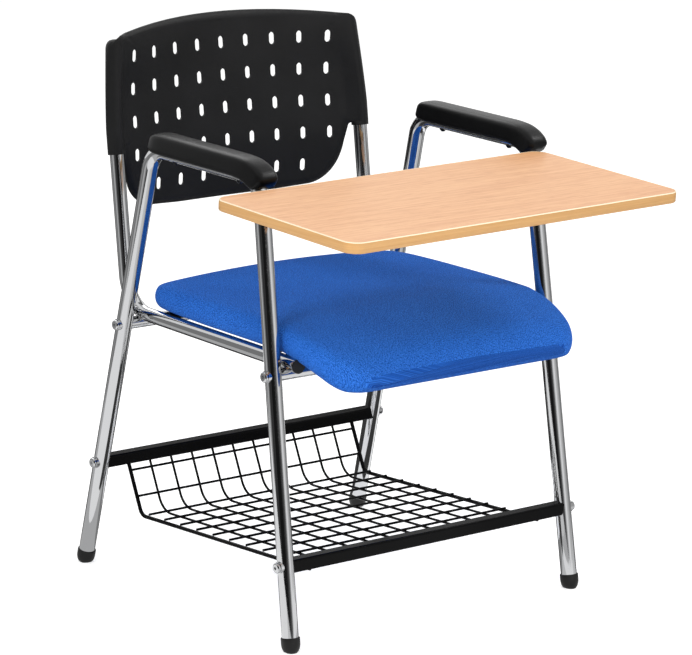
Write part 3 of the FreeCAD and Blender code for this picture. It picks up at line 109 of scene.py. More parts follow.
def set_uv(obj, uv):
    """uv[vertex] is the vertex's own pattern coordinate; faces read it corner by corner."""
    layer = obj.data.uv_layers.new(name="pattern")
    index = np.zeros(len(obj.data.loops), np.int32)
    obj.data.loops.foreach_get("vertex_index", index)
    layer.data.foreach_set("uv", uv[index].astype(np.float32).ravel())


def finish_piece(obj, body, slot, material, *stands_for):
    """Material, the body it moves with and the CAD nodes it stands for; slot is not used."""
    obj.data.materials.clear()
    obj.data.materials.append(material)
    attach(obj, body)
    if stands_for:
        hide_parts(*stands_for)
    print(obj.name, "faces", len(obj.data.polygons))
    return obj


print("edges sharper than", round(math.degrees(CRISP_ANGLE)), "degrees stay crisp")

# %% [markdown]
# Materials
# Each finish is a small node tree. A helper opens a new one and hands back a
# function that adds nodes and a function that joins them. A Mix node has
# sockets for every kind of value, and its colours sit at fixed numbers.

# %% Node helper
MIX_FIRST, MIX_SECOND, MIX_RESULT = 6, 7, 2


def new_material(name):
    mat = bpy.data.materials.new(name)
    mat.use_nodes = True
    tree = mat.node_tree
    shader = tree.nodes["Principled BSDF"]

    def add(kind, **values):
        node = tree.nodes.new(kind)
        for key, value in values.items():
            if hasattr(node, key):
                setattr(node, key, value)
            else:
                node.inputs[key.replace("_", " ")].default_value = value
        return node

    def join(source, target):
        tree.links.new(source, target)
    return mat, shader, add, join


def ramp_node(add, stops):
    """A colour ramp with the given (place, colour) stops."""
    node = add("ShaderNodeValToRGB")
    ramp = node.color_ramp
    while len(ramp.elements) < len(stops):
        ramp.elements.new(0.5)
    for element, (place, colour) in zip(ramp.elements, stops):
        element.position = place
        element.color = (*colour, 1.0)
    return node


def stretched(add, join, source, scale):
    """The source coordinates, multiplied by a scale for each axis."""
    mapping = add("ShaderNodeMapping")
    mapping.inputs["Scale"].default_value = scale
    join(source, mapping.inputs["Vector"])
    return mapping.outputs["Vector"]


def relief(add, join, shader, height, strength, distance):
    """Bends the shader's normal as if the surface rose and fell with the height."""
    bump = add("ShaderNodeBump", Strength=strength, Distance=distance)
    join(height, bump.inputs["Height"])
    join(bump.outputs["Normal"], shader.inputs["Normal"])


def srgb(r, g, b):
    """Screen colour 0-255 to the linear colour that a shader wants."""
    c = np.array([r, g, b]) / 255.0
    return tuple(np.where(c <= 0.04045, c / 12.92, ((c + 0.055) / 1.055) ** 2.4).tolist())


print("middle grey in the shader", round(srgb(128, 128, 128)[0], 3))

# %% [markdown]
# Chrome plating is a mirror with a very slight haze. A faint cloudy change of
# roughness, as polishing and handling leave, keeps it from looking computed.

# %% Chrome
def make_chrome():
    mat, shader, add, join = new_material("chrome plating")
    shader.inputs["Metallic"].default_value = 1.0
    shader.inputs["Base Color"].default_value = (0.58, 0.585, 0.595, 1)
    where = add("ShaderNodeTexCoord")
    cloud = add("ShaderNodeTexNoise", Scale=26.0, Detail=4.0, Roughness=0.6)
    join(where.outputs["Object"], cloud.inputs["Vector"])
    haze = add("ShaderNodeMapRange")
    haze.inputs["To Min"].default_value = 0.03
    haze.inputs["To Max"].default_value = 0.08
    join(cloud.outputs["Fac"], haze.inputs["Value"])
    join(haze.outputs["Result"], shader.inputs["Roughness"])
    ripple = add("ShaderNodeTexNoise", Scale=9.0, Detail=2.0)
    join(where.outputs["Object"], ripple.inputs["Vector"])
    relief(add, join, shader, ripple.outputs["Fac"], 0.05, 0.002)
    return mat


chrome = make_chrome()
print("made", chrome.name)


# %% [markdown]
# Zinc plate on hidden fasteners is duller: a brushed grey with small spangles.
# The screws under the arms are blackened, as the photograph shows.

# %% Zinc
def make_zinc(name, dark, light):
    mat, shader, add, join = new_material(name)
    shader.inputs["Metallic"].default_value = 1.0
    where = add("ShaderNodeTexCoord")
    spangle = add("ShaderNodeTexVoronoi", Scale=420.0)
    join(where.outputs["Object"], spangle.inputs["Vector"])
    tone = ramp_node(add, [(0.0, dark), (1.0, light)])
    join(spangle.outputs["Distance"], tone.inputs["Fac"])
    join(tone.outputs["Color"], shader.inputs["Base Color"])
    shader.inputs["Roughness"].default_value = 0.38
    return mat


zinc = make_zinc("zinc plate", (0.44, 0.44, 0.42), (0.60, 0.60, 0.57))
black_zinc = make_zinc("black zinc plate", (0.012, 0.012, 0.013), (0.030, 0.030, 0.032))
print("made", zinc.name, "and", black_zinc.name)


# %% [markdown]
# Black enamel on the basket is a smooth baked coat with a little orange peel.
# Moulded parts are duller and carry a fine spark-eroded grain. One helper
# makes them all, because only the numbers differ.

# %% Black coats and mouldings
def make_black(name, colour, rough, grain_scale, grain_depth, shine=0.3, blotch=0.25):
    mat, shader, add, join = new_material(name)
    shader.inputs["Specular IOR Level"].default_value = shine
    where = add("ShaderNodeTexCoord")
    patch = add("ShaderNodeTexNoise", Scale=14.0, Detail=5.0)
    join(where.outputs["Object"], patch.inputs["Vector"])
    dark = tuple(c * (1 - blotch) for c in colour)
    light = tuple(c * (1 + blotch) for c in colour)
    tone = ramp_node(add, [(0.3, dark), (0.7, light)])
    join(patch.outputs["Fac"], tone.inputs["Fac"])
    join(tone.outputs["Color"], shader.inputs["Base Color"])
    grain = add("ShaderNodeTexNoise", Scale=grain_scale, Detail=3.0, Roughness=0.7)
    join(where.outputs["Object"], grain.inputs["Vector"])
    relief(add, join, shader, grain.outputs["Fac"], 0.6, grain_depth)
    gloss = add("ShaderNodeMapRange")
    gloss.inputs["To Min"].default_value = rough - 0.06
    gloss.inputs["To Max"].default_value = rough + 0.08
    join(grain.outputs["Fac"], gloss.inputs["Value"])
    join(gloss.outputs["Result"], shader.inputs["Roughness"])
    return mat


enamel = make_black("black basket enamel", (0.0018, 0.0018, 0.002), 0.24, 90.0, 0.00005, shine=0.08)
shell_plastic = make_black("grained shell plastic", (0.0062, 0.0062, 0.0066), 0.44,
                           1100.0, 0.0006, shine=0.2)
pad_skin = make_black("arm pad skin", (0.003, 0.003, 0.0033), 0.31, 700.0, 0.0003, shine=0.18)
rubber = make_black("black rubber", (0.006, 0.006, 0.006), 0.42, 500.0, 0.0002)
print("made four blacks")


# %% [markdown]
# The writing board is covered with a beech-look laminate. Its figure runs
# along the board: noise stretched twenty times along x gives the streaks, a
# second, finer one gives the short dark flecks of beech.

# %% Beech laminate
def make_laminate():
    mat, shader, add, join = new_material("beech laminate")
    where = add("ShaderNodeTexCoord")
    along = stretched(add, join, where.outputs["Object"], (4.0, 110.0, 110.0))
    streak = add("ShaderNodeTexNoise", Scale=1.6, Detail=6.0, Roughness=0.62, Distortion=0.35)
    join(along, streak.inputs["Vector"])
    tone = ramp_node(add, [(0.25, srgb(225, 159, 106)), (0.48, srgb(238, 177, 123)),
                           (0.62, srgb(245, 188, 134)), (0.85, srgb(233, 171, 116))])
    join(streak.outputs["Fac"], tone.inputs["Fac"])
    fleck_map = stretched(add, join, where.outputs["Object"], (34.0, 330.0, 330.0))
    fleck = add("ShaderNodeTexNoise", Scale=1.0, Detail=2.0)
    join(fleck_map, fleck.inputs["Vector"])
    mark = ramp_node(add, [(0.36, (0.80, 0.66, 0.55)), (0.47, (1.0, 1.0, 1.0))])
    join(fleck.outputs["Fac"], mark.inputs["Fac"])
    mix = add("ShaderNodeMix", data_type="RGBA", blend_type="MULTIPLY")
    mix.inputs["Factor"].default_value = 0.45
    join(tone.outputs["Color"], mix.inputs[MIX_FIRST])
    join(mark.outputs["Color"], mix.inputs[MIX_SECOND])
    join(mix.outputs[MIX_RESULT], shader.inputs["Base Color"])
    shader.inputs["Roughness"].default_value = 0.36
    relief(add, join, shader, fleck.outputs["Fac"], 0.25, 0.0002)
    return mat


laminate = make_laminate()


def make_edging():
    """Straw colour with faint streaks, and a pale painted highlight along the upper slope of the edge."""
    mat, shader, add, join = new_material("straw edge band")
    where = add("ShaderNodeTexCoord")
    along = stretched(add, join, where.outputs["Object"], (3.0, 3.0, 260.0))
    streak = add("ShaderNodeTexNoise", Scale=2.0, Detail=4.0)
    join(along, streak.inputs["Vector"])
    tone = ramp_node(add, [(0.3, srgb(204, 153, 92)), (0.7, srgb(217, 169, 109))])
    join(streak.outputs["Fac"], tone.inputs["Fac"])
    split = add("ShaderNodeSeparateXYZ")
    join(where.outputs["UV"], split.inputs["Vector"])
    # painted highlight: pale cream near the top of the band's UV, where the upper slope would catch the
    # light
    painted_edge_highlight = ramp_node(add, [(0.13, (1, 1, 1)), (0.22, (0, 0, 0))])
    join(split.outputs["Y"], painted_edge_highlight.inputs["Fac"])
    mix = add("ShaderNodeMix", data_type="RGBA")
    join(painted_edge_highlight.outputs["Color"], mix.inputs["Factor"])
    join(tone.outputs["Color"], mix.inputs[MIX_FIRST])
    mix.inputs[MIX_SECOND].default_value = (*srgb(255, 238, 205), 1)
    join(mix.outputs[MIX_RESULT], shader.inputs["Base Color"])
    shader.inputs["Roughness"].default_value = 0.40
    return mat


edging = make_edging()
print("made", laminate.name, "and", edging.name)


# %% [markdown]
# The seat board inside the cushion is birch plywood. It hardly shows, so one
# stretched noise is enough: long grain along the face, thin layers on the edge.

# %% Plywood
def make_plywood():
    mat, shader, add, join = new_material("birch plywood")
    where = add("ShaderNodeTexCoord")
    along = stretched(add, join, where.outputs["Object"], (30.0, 2.0, 650.0))
    grain = add("ShaderNodeTexNoise", Scale=1.5, Detail=5.0)
    join(along, grain.inputs["Vector"])
    tone = ramp_node(add, [(0.25, srgb(170, 128, 84)), (0.6, srgb(214, 178, 132)),
                           (0.9, srgb(226, 194, 150))])
    join(grain.outputs["Fac"], tone.inputs["Fac"])
    join(tone.outputs["Color"], shader.inputs["Base Color"])
    shader.inputs["Roughness"].default_value = 0.68
    return mat


plywood = make_plywood()
print("made", plywood.name)


# %% [markdown]
# The seat cloth is a tight weave of small raised points. A Voronoi texture with little randomness gives
# one dome to each crossing of the yarns, and each dome its own tint, as mixed yarn has. The colour follows
# each dome's height: painted shade darkens its low edge and painted light brightens its top. The pattern
# reads the cushion's own UV map in metres, so the points follow the surface.

# %% Blue cloth
THREAD = 0.0021


def scaled_sum(add, join, source, factor, plus):
    """source times factor, plus a number or another node's output."""
    node = add("ShaderNodeMath", operation="MULTIPLY_ADD")
    join(source, node.inputs[0])
    node.inputs[1].default_value = factor
    if isinstance(plus, float):
        node.inputs[2].default_value = plus
    else:
        join(plus, node.inputs[2])
    return node.outputs["Value"]


def make_cloth():
    """Height and tint of a point: 0.98 - 1.5 x distance from its middle, a share of its own, and fibre;
    the colour follows it, with painted shade at the low edges and painted light at the tops.
    """
    mat, shader, add, join = new_material("blue woven cloth")
    where = add("ShaderNodeTexCoord")
    point = add("ShaderNodeTexVoronoi", voronoi_dimensions="2D", Scale=1.0 / THREAD, Randomness=0.45)
    join(where.outputs["UV"], point.inputs["Vector"])
    dome = scaled_sum(add, join, point.outputs["Distance"], -1.5, 0.98)
    yarn = add("ShaderNodeSeparateXYZ")
    join(point.outputs["Color"], yarn.inputs["Vector"])
    weave = scaled_sum(add, join, yarn.outputs["X"], 0.16, dome)
    fibre = add("ShaderNodeTexNoise", Scale=900.0, Detail=3.0)
    join(where.outputs["UV"], fibre.inputs["Vector"])
    body = scaled_sum(add, join, fibre.outputs["Fac"], 0.10, weave)
    # the ramp reads the height: its dark end is painted shade between the points, its light end painted
    # light on their tops; yarn tint and fibre are the cloth's own
    tone = ramp_node(add, [(0.10, (0.006, 0.045, 0.26)), (0.55, (0.018, 0.135, 0.62)),
                           (1.0, (0.070, 0.32, 1.0))])
    join(body, tone.inputs["Fac"])
    patch = add("ShaderNodeTexNoise", Scale=7.0, Detail=3.0)
    join(where.outputs["UV"], patch.inputs["Vector"])
    shade = ramp_node(add, [(0.3, (0.86, 0.86, 0.88)), (0.7, (1.0, 1.0, 1.0))])
    join(patch.outputs["Fac"], shade.inputs["Fac"])
    mix = add("ShaderNodeMix", data_type="RGBA", blend_type="MULTIPLY")
    mix.inputs["Factor"].default_value = 1.0
    join(tone.outputs["Color"], mix.inputs[MIX_FIRST])
    join(shade.outputs["Color"], mix.inputs[MIX_SECOND])
    join(mix.outputs[MIX_RESULT], shader.inputs["Base Color"])
    shader.inputs["Roughness"].default_value = 0.82
    shader.inputs["Sheen Weight"].default_value = 0.02
    shader.inputs["Specular IOR Level"].default_value = 0.05
    shader.inputs["Sheen Roughness"].default_value = 0.4
    relief(add, join, shader, body, 0.8, 0.0006)
    return mat


cloth = make_cloth()
print("made", cloth.name)

# %% [markdown]
# CAD pieces whose shape is already right only need their finish. A table
# pairs each finish with its nodes.

# %% Dress the CAD nodes
dress = {
    chrome: ["side_frame_right", "side_frame_left", "seat_back_rail_right", "seat_back_rail_left",
             "front_cross_tube", "rear_cross_tube", "frame_bolts", "frame_washers", "basket_bolts",
             "basket_washers"],
    zinc: ["cross_tube_inserts", "basket_bar_inserts", "seat_bolts", "seat_t_nuts", "arm_pad_strips",
           "back_shell_screws", "tablet_hinge_pin", "tablet_leaf_screws"],
    black_zinc: ["arm_pad_screws", "tablet_clamp_bolts"],
    enamel: ["basket_front_bar", "basket_rear_bar", "basket_end_wires", "basket_long_wires",
             "basket_cross_wires", "seat_tabs", "tablet_bracket", "tablet_clamp", "tablet_hinge_leaf"],
    shell_plastic: ["back_shell"],
    pad_skin: ["arm_pad_right", "arm_pad_left"],
    rubber: ["foot_caps", "tablet_rest_pads", "rail_end_plugs", "upright_top_plugs"],
    plywood: ["seat_board"],
    cloth: ["seat_cushion"],
    laminate: ["tablet_board"],
    edging: ["tablet_edge_band"],
}
for material, names in dress.items():
    for name in names:
        mesh = nodes[name].data
        mesh.materials.clear()
        mesh.materials.append(material)
print("dressed", sum(len(v) for v in dress.values()), "of", len(nodes))

# %% [markdown]
# Curves for tubes and edges
# Bent tube is straight runs joined by arcs. The path helper takes the corners
# and the bend radius at each and returns evenly placed points; a ring is then
# carried along them, always square to the path.

# %% Paths and tubes
def rounded_path(corners, radii, closed=False, arc_steps=14):
    """Straight runs, and at each corner an arc of the given radius that touches both runs."""
    corners = [np.array(c, float) for c in corners]
    count = len(corners)
    points = []
    for n, (corner, radius) in enumerate(zip(corners, radii)):
        if radius == 0 or (not closed and n in (0, count - 1)):
            points.append(corner[None])
            continue
        before, after = corners[n - 1] - corner, corners[(n + 1) % count] - corner
        before, after = before / np.linalg.norm(before), after / np.linalg.norm(after)
        half = np.arccos(np.clip(before @ after, -1, 1)) / 2
        middle = (before + after) / np.linalg.norm(before + after)
        centre = corner + middle * radius / np.sin(half)
        start, end = corner + before * radius / np.tan(half), corner + after * radius / np.tan(half)
        a, b = (start - centre) / radius, (end - centre) / radius
        sweep = np.arccos(np.clip(a @ b, -1, 1))
        t = np.linspace(0, 1, arc_steps)[:, None]
        bend = (np.sin((1 - t) * sweep) * a + np.sin(t * sweep) * b) / np.sin(sweep)
        points.append(centre + radius * bend)
    return np.concatenate(points)


def tube_grid(path, radius, across, sides=48):
    """ring(i, j) = path(i) + radius * (cos j * across + sin j * square to path and across)."""
    run = np.gradient(path, axis=0)
    run /= np.linalg.norm(run, axis=1, keepdims=True)
    across = np.broadcast_to(np.array(across, float), run.shape)
    other = np.cross(run, across)
    other /= np.linalg.norm(other, axis=1, keepdims=True)
    first = np.cross(other, run)
    j = np.linspace(0, math.tau, sides, endpoint=False)
    radius = np.broadcast_to(radius, (len(path),))[:, None, None]
    return path[:, None] + radius * (np.cos(j)[None, :, None] * first[:, None]
                                     + np.sin(j)[None, :, None] * other[:, None])


corner = rounded_path([(1, 0, 0), (0, 0, 0), (0, 1, 0)], (0, 0.5, 0))
print("one rounded corner has", len(corner), "points")

# %% [markdown]
# Chrome tubes
# Mirror-bright tube shows every flat of a coarse mesh, so the six chromed
# tubes are swept again with 48 sides. The sizes are the drawing's: each side
# frame is a leg, an arm and a leg, leaning in by 1.2 degrees.

# %% Side frames
SPLAY, FRONT_LEAN, REAR_LEAN = np.tan(np.radians([1.2, 9.57, 12.44]))
FLOOR_X, FLOOR_FRONT, FLOOR_REAR = 0.273, 0.2488, 0.2828
ARM, ARM_BEND, TUBE_END, LEG_RADIUS = 0.684, 0.040, 0.008, 0.0125


def frame_x(z):
    return FLOOR_X - z * SPLAY


def front_y(z):
    return -(FLOOR_FRONT - z * FRONT_LEAN)


def rear_y(z):
    return FLOOR_REAR - z * REAR_LEAN


for word, side in (("right", -1), ("left", 1)):
    corners = [(side * frame_x(z), y(z), z) for z, y in
               ((TUBE_END, front_y), (ARM, front_y), (ARM, rear_y), (TUBE_END, rear_y))]
    path = rounded_path(placed(corners), (0, ARM_BEND, ARM_BEND, 0), arc_steps=22)
    tube = grid_mesh("chrome_frame_" + word, tube_grid(path, LEG_RADIUS, (1, 0, 0)))
    finish_piece(tube, "chair", "chrome", chrome, "side_frame_" + word)

# %% [markdown]
# Two thinner tubes carry the seat and then bend up as the back's uprights. Two
# short ones tie the side frames together; each ends inside the legs' outline,
# so no gap shows at its saddle cut.

# %% Rails and cross tubes
LEAN = math.radians(8.63)
RAIL_X, RAIL_Z, RAIL_FRONT, UPRIGHT_Y, UPRIGHT_TOP = 0.238, 0.417, -0.205, 0.2209, 0.700
RAIL_BEND, RAIL_RADIUS = 0.060, 0.011
CROSS_Z, CROSS_RADIUS, CROSS_SHORT = 0.401, 0.0095, 0.006
for word, side in (("right", -1), ("left", 1)):
    top_y = UPRIGHT_Y + math.tan(LEAN) * (UPRIGHT_TOP - RAIL_Z)
    corners = [(side * RAIL_X, RAIL_FRONT, RAIL_Z), (side * RAIL_X, UPRIGHT_Y, RAIL_Z),
               (side * RAIL_X, top_y, UPRIGHT_TOP)]
    path = rounded_path(placed(corners), (0, RAIL_BEND, 0), arc_steps=26)
    rail = grid_mesh("chrome_rail_" + word, tube_grid(path, RAIL_RADIUS, (1, 0, 0)))
    finish_piece(rail, "chair", "chrome", chrome, "seat_back_rail_" + word)
for word, y in (("front", front_y), ("rear", rear_y)):
    end = frame_x(CROSS_Z) - CROSS_SHORT
    x = np.linspace(-end, end, 12)
    path = placed(np.stack([x, np.full_like(x, y(CROSS_Z)), np.full_like(x, CROSS_Z)], -1))
    cross = grid_mesh("chrome_cross_" + word, tube_grid(path, CROSS_RADIUS, (0, 0, 1)))
    finish_piece(cross, "chair", "chrome", chrome, word + "_cross_tube")

# %% [markdown]
# The seat cushion
# Foam on a plywood board under stretched cloth: thick and nearly flat at the
# back, with full round sides, and rolled over in front for the thighs. It is
# worked out as sections across the seat. A table gives, at stations from the
# rear to the nose, how high the top, how low the underside, how wide and how
# far rolled over the cushion is; between the stations the values run smoothly.

# %% Cushion
# share of the length from the rear; shares of the height: top and underside;
# share of the half width; share of the nose's drop
cushion_rows = np.array([
    (0.000, 0.45, 0.25, 0.740, 0.00),
    (0.012, 0.68, 0.10, 0.860, 0.00),
    (0.040, 0.85, 0.02, 0.930, 0.00),
    (0.090, 0.91, 0.00, 0.968, 0.00),
    (0.164, 0.95, 0.00, 0.986, 0.00),
    (0.363, 0.98, 0.00, 1.000, 0.00),
    (0.560, 1.00, 0.00, 1.000, 0.00),
    (0.700, 0.98, 0.00, 1.000, 0.00),
    (0.761, 0.92, 0.00, 0.994, 0.12),
    (0.824, 0.81, 0.00, 0.982, 0.34),
    (0.882, 0.67, 0.00, 0.962, 0.62),
    (0.923, 0.54, 0.00, 0.940, 0.84),
    (0.959, 0.36, 0.00, 0.900, 0.96),
    (0.984, 0.12, 0.00, 0.845, 0.94),
    (1.000, -0.19, 0.00, 0.770, 0.76)])
CUSHION_REAR, CUSHION_FRONT, CUSHION_HALF = 0.182, 0.306, 0.248
CUSHION_LOW, CUSHION_HIGH, NOSE_LOW = 0.4282, 0.481, 0.388
# shares of a section's height: where the side's arc starts, is widest and ends
TUCK_IN, WIDEST_UP, SHOULDER_IN, SHOULDER_DOWN = 0.20, 0.42, 0.241, 0.20
SIDE_POINTS, CROWN_POINTS, UNDER_POINTS, ROUNDINGS = 26, 72, 52, 10


def smooth_columns(table, t):
    """Monotone cubic through the table's rows: harmonic-mean slopes, so no value overshoots."""
    x, y = table[:, 0], table[:, 1:]
    step = np.diff(x)[:, None]
    rise = np.diff(y, axis=0) / step
    product = rise[:-1] * rise[1:]
    total = np.where(np.abs(rise[:-1] + rise[1:]) < 1e-9, 1.0, rise[:-1] + rise[1:])
    slope = np.vstack([rise[:1], np.where(product > 0, 2 * product / total, 0.0), rise[-1:]])
    i = np.clip(np.searchsorted(x, t, side="right") - 1, 0, len(x) - 2)
    h = step[i]
    u = ((t - x[i])[:, None]) / h
    return ((1 + 2 * u) * (1 - u) ** 2 * y[i] + u * (1 - u) ** 2 * h * slope[i]
            + u ** 2 * (3 - 2 * u) * y[i + 1] - u ** 2 * (1 - u) * h * slope[i + 1])


def arc_between(first, middle, last, t):
    """Circle through three points of each section, centre on both bisectors; the angle grows with t."""
    (x1, z1), (x2, z2), (x3, z3) = first, middle, last
    d = 2 * (x1 * (z2 - z3) + x2 * (z3 - z1) + x3 * (z1 - z2))
    q1, q2, q3 = x1 ** 2 + z1 ** 2, x2 ** 2 + z2 ** 2, x3 ** 2 + z3 ** 2
    cx = (q1 * (z2 - z3) + q2 * (z3 - z1) + q3 * (z1 - z2)) / d
    cz = (q1 * (x3 - x2) + q2 * (x1 - x3) + q3 * (x2 - x1)) / d
    radius = np.hypot(x1 - cx, z1 - cz)
    start = np.arctan2(z1 - cz, x1 - cx)
    sweep = (np.arctan2(z3 - cz, x3 - cx) - start) % math.tau
    angle = start[:, None] + sweep[:, None] * t[None]
    return np.stack([cx[:, None] + radius[:, None] * np.cos(angle),
                     cz[:, None] + radius[:, None] * np.sin(angle)], -1)


def cushion_grid(stations=150):
    """Each section: flat below, an arc up each side, a low crown on top; then each point is averaged."""
    along = (1 - np.cos(np.linspace(0, math.pi, stations))) / 2
    high, low, width, roll = smooth_columns(cushion_rows, along).T
    flat, nose = CUSHION_HIGH - CUSHION_LOW, CUSHION_HIGH - NOSE_LOW
    top = CUSHION_LOW + high * flat
    bottom = CUSHION_LOW + low * flat - roll * (nose - flat)
    y = CUSHION_REAR - along * (CUSHION_REAR + CUSHION_FRONT)
    half, deep = width * CUSHION_HALF, top - bottom
    low_x = half - TUCK_IN * deep
    shoulder_x, shoulder_z = half - SHOULDER_IN * deep, top - SHOULDER_DOWN * deep
    side = arc_between((low_x, bottom), (half, bottom + WIDEST_UP * deep), (shoulder_x, shoulder_z),
                       np.linspace(0, 1, SIDE_POINTS))
    crown = arc_between((shoulder_x, shoulder_z), (0 * top, top), (-shoulder_x, shoulder_z),
                        np.linspace(0, 1, CROWN_POINTS))
    other = side[:, ::-1] * (-1, 1)
    t = np.linspace(-1, 1, UNDER_POINTS)[None, 1:-1, None]
    under_z = np.broadcast_to(bottom[:, None, None], (stations, UNDER_POINTS - 2, 1))
    under = np.concatenate([low_x[:, None, None] * t, under_z], -1)
    ring = np.concatenate([side, crown[:, 1:-1], other, under], 1)
    for _ in range(ROUNDINGS):
        ring = 0.25 * np.roll(ring, 1, 1) + 0.5 * ring + 0.25 * np.roll(ring, -1, 1)
    yy = np.broadcast_to(y[:, None, None], ring.shape[:2] + (1,))
    return np.concatenate([ring[..., :1], yy, ring[..., 1:]], -1)


# the pattern is measured along the surface, from a line near the middle of the top
TOP_COLUMN = 60
cushion_points = cushion_grid()
around_step = np.linalg.norm(np.diff(cushion_points, axis=1, append=cushion_points[:, :1]), axis=-1)
along_step = np.linalg.norm(np.diff(cushion_points, axis=0, prepend=cushion_points[:1]), axis=-1)
cloth_u = np.cumsum(around_step, 1)
cloth_u -= cloth_u[:, TOP_COLUMN:TOP_COLUMN + 1]
cloth_v = np.broadcast_to(np.cumsum(along_step[:, TOP_COLUMN])[:, None], cloth_u.shape)
cushion = grid_mesh("blue_seat_cushion", placed(cushion_points))
set_uv(cushion, np.stack([cloth_u, cloth_v], -1).reshape(-1, 2))
finish_piece(cushion, "chair", "blue_cloth", cloth, "seat_cushion")

# %% [markdown]
# The back shell
# One moulding of black plastic: a panel bowed like the sitter's back, its rim
# rolled back, with a sleeve down each side that drops over the upright, and
# rows of slots. The panel is a grid: rings that follow the outline, from the
# middle of the front face out to the rim, round it and back over the rear
# face. Heights z are the drawing's; h is measured up the lean from the rails.

# %% Frame of the leaning back
SHELL_TOP_HALF, SHELL_HALF, TAPER_Z, CORNER_Z = 0.240, 0.252, 0.716, 0.826
SLEEVE_RADIUS, SLEEVE_LOW, NOTCH_TOP, SHELL_WALL = 0.014, 0.651, 0.656, 0.004
TAPER_EASE, TAPER_POWER = 0.03, 1.25
BOW_DEPTH, BOW_EDGE = 0.035, 0.026
SIDE_PROUD, SIDE_SINK, SINK_START, SINK_LENGTH = 0.004, 0.013, 0.008, 0.085
LOBE_HALF, LOBE_SWING, SWING_LENGTH = 0.2235, 0.012, 0.10


def up_lean(z):
    return (z - RAIL_Z) / math.cos(LEAN)


def on_back(x, y, h):
    """A point of the leaning frame (x across, y to the rear, h up the lean) in the drawing."""
    return np.stack([x, UPRIGHT_Y + h * math.sin(LEAN) + y * math.cos(LEAN),
                     RAIL_Z + h * math.cos(LEAN) - y * math.sin(LEAN)], -1)


def half_width(h):
    """Half the shell's width: full below the taper, then a soft line in to the top corner."""
    start, end = up_lean(TAPER_Z), up_lean(CORNER_Z)
    t = np.clip((h - start + TAPER_EASE) / (end - start + TAPER_EASE), 0, 1)
    return SHELL_HALF - (SHELL_HALF - SHELL_TOP_HALF) * t ** TAPER_POWER


def eased(t):
    """0 to 1 with a level start and a level end: three t squared less two t cubed."""
    return t * t * (3 - 2 * t)


def panel_front(x, h):
    """Front face: a parabola, 35 mm deep at the middle and 9 mm at the sides, then over the sleeve.

    Towards the top corners the sides come level with the sleeves. Below the
    notches the free lobe swings back by up to 12 mm, away from the sitter's hips.
    """
    middle = half_width(h) - SLEEVE_RADIUS
    out = np.abs(x)
    sunk = eased(np.clip((up_lean(CORNER_Z) - SINK_START - h) / SINK_LENGTH, 0, 1))
    side_depth = SIDE_SINK * sunk - SIDE_PROUD
    bow = side_depth + (BOW_DEPTH - side_depth) * (1 - np.clip(out / (middle - BOW_EDGE), 0, 1) ** 2)
    t = eased(np.clip((out - middle + BOW_EDGE) / BOW_EDGE, 0, 1))
    past = np.clip(out - middle, 0, SLEEVE_RADIUS * 0.995)
    below = np.clip((up_lean(NOTCH_TOP) - h) / SWING_LENGTH, 0, 1) * (out < LOBE_HALF)
    crest = -np.sqrt(SLEEVE_RADIUS ** 2 - past ** 2)
    return bow * (1 - t) + crest * t + LOBE_SWING * eased(below)


print("shell leans", round(math.degrees(LEAN), 2), "degrees; bow", BOW_DEPTH, "m")


# %% [markdown]
# The outline has a corner for each change of direction, with the radius of the
# arc that rounds it: a long arch on top, a straight side down to the notch
# where the sleeve ends, and a rounded lobe below. The rings shrink towards a
# pole in the plastic between four slots, so that no slot cuts through it.

# %% Panel
ARCH_Z, ARCH_RADIUS = 0.8715, 1.19
# half width, height and radius of each corner down one side
side_points = [(SHELL_TOP_HALF, CORNER_Z, 0.030), (SHELL_HALF, TAPER_Z, 0.4),
               (SHELL_HALF, NOTCH_TOP, 0.004), (0.2205, NOTCH_TOP, 0.003),
               (0.2125, 0.616, 0.070), (0.197, 0.5665, 0.062), (0.095, 0.5625, 0.6)]
other_side = [(-x, z, radius) for x, z, radius in reversed(side_points)]
outline_points = [(0, ARCH_Z, ARCH_RADIUS)] + side_points + other_side
outline_path = rounded_path([(x, 0, up_lean(z)) for x, z, _ in outline_points],
                            [radius for _, _, radius in outline_points], closed=True, arc_steps=16)
loop = np.vstack([outline_path, outline_path[:1]])
run = np.concatenate([[0], np.cumsum(np.linalg.norm(np.diff(loop, axis=0), axis=1))])
even = np.linspace(0, run[-1], 480, endpoint=False)
rim_x, rim_h = np.interp(even, run, loop[:, 0]), np.interp(even, run, loop[:, 2])
pole_x, pole_h = 0.0236, up_lean(0.726)
reach = np.hypot(rim_x - pole_x, rim_h - pole_h)
ROLL_DEPTH, ROLL_WIDTH, ROLL_END, ROLL_FADE = 0.0050, 0.013, 0.008, 0.03


def panel_ring(inset, deep):
    """The outline drawn in by inset towards the pole, deep behind the front face, its rim rolled back."""
    keep = 1 - inset / reach
    x, h = pole_x + (rim_x - pole_x) * keep, pole_h + (rim_h - pole_h) * keep
    fade = np.clip((SHELL_TOP_HALF - ROLL_END - np.abs(x)) / ROLL_FADE, 0, 1)
    rolled = ROLL_DEPTH * np.clip(1 - inset / ROLL_WIDTH, 0, 1) ** 2 * eased(fade)
    return on_back(x, panel_front(x, h) + deep + rolled, h)


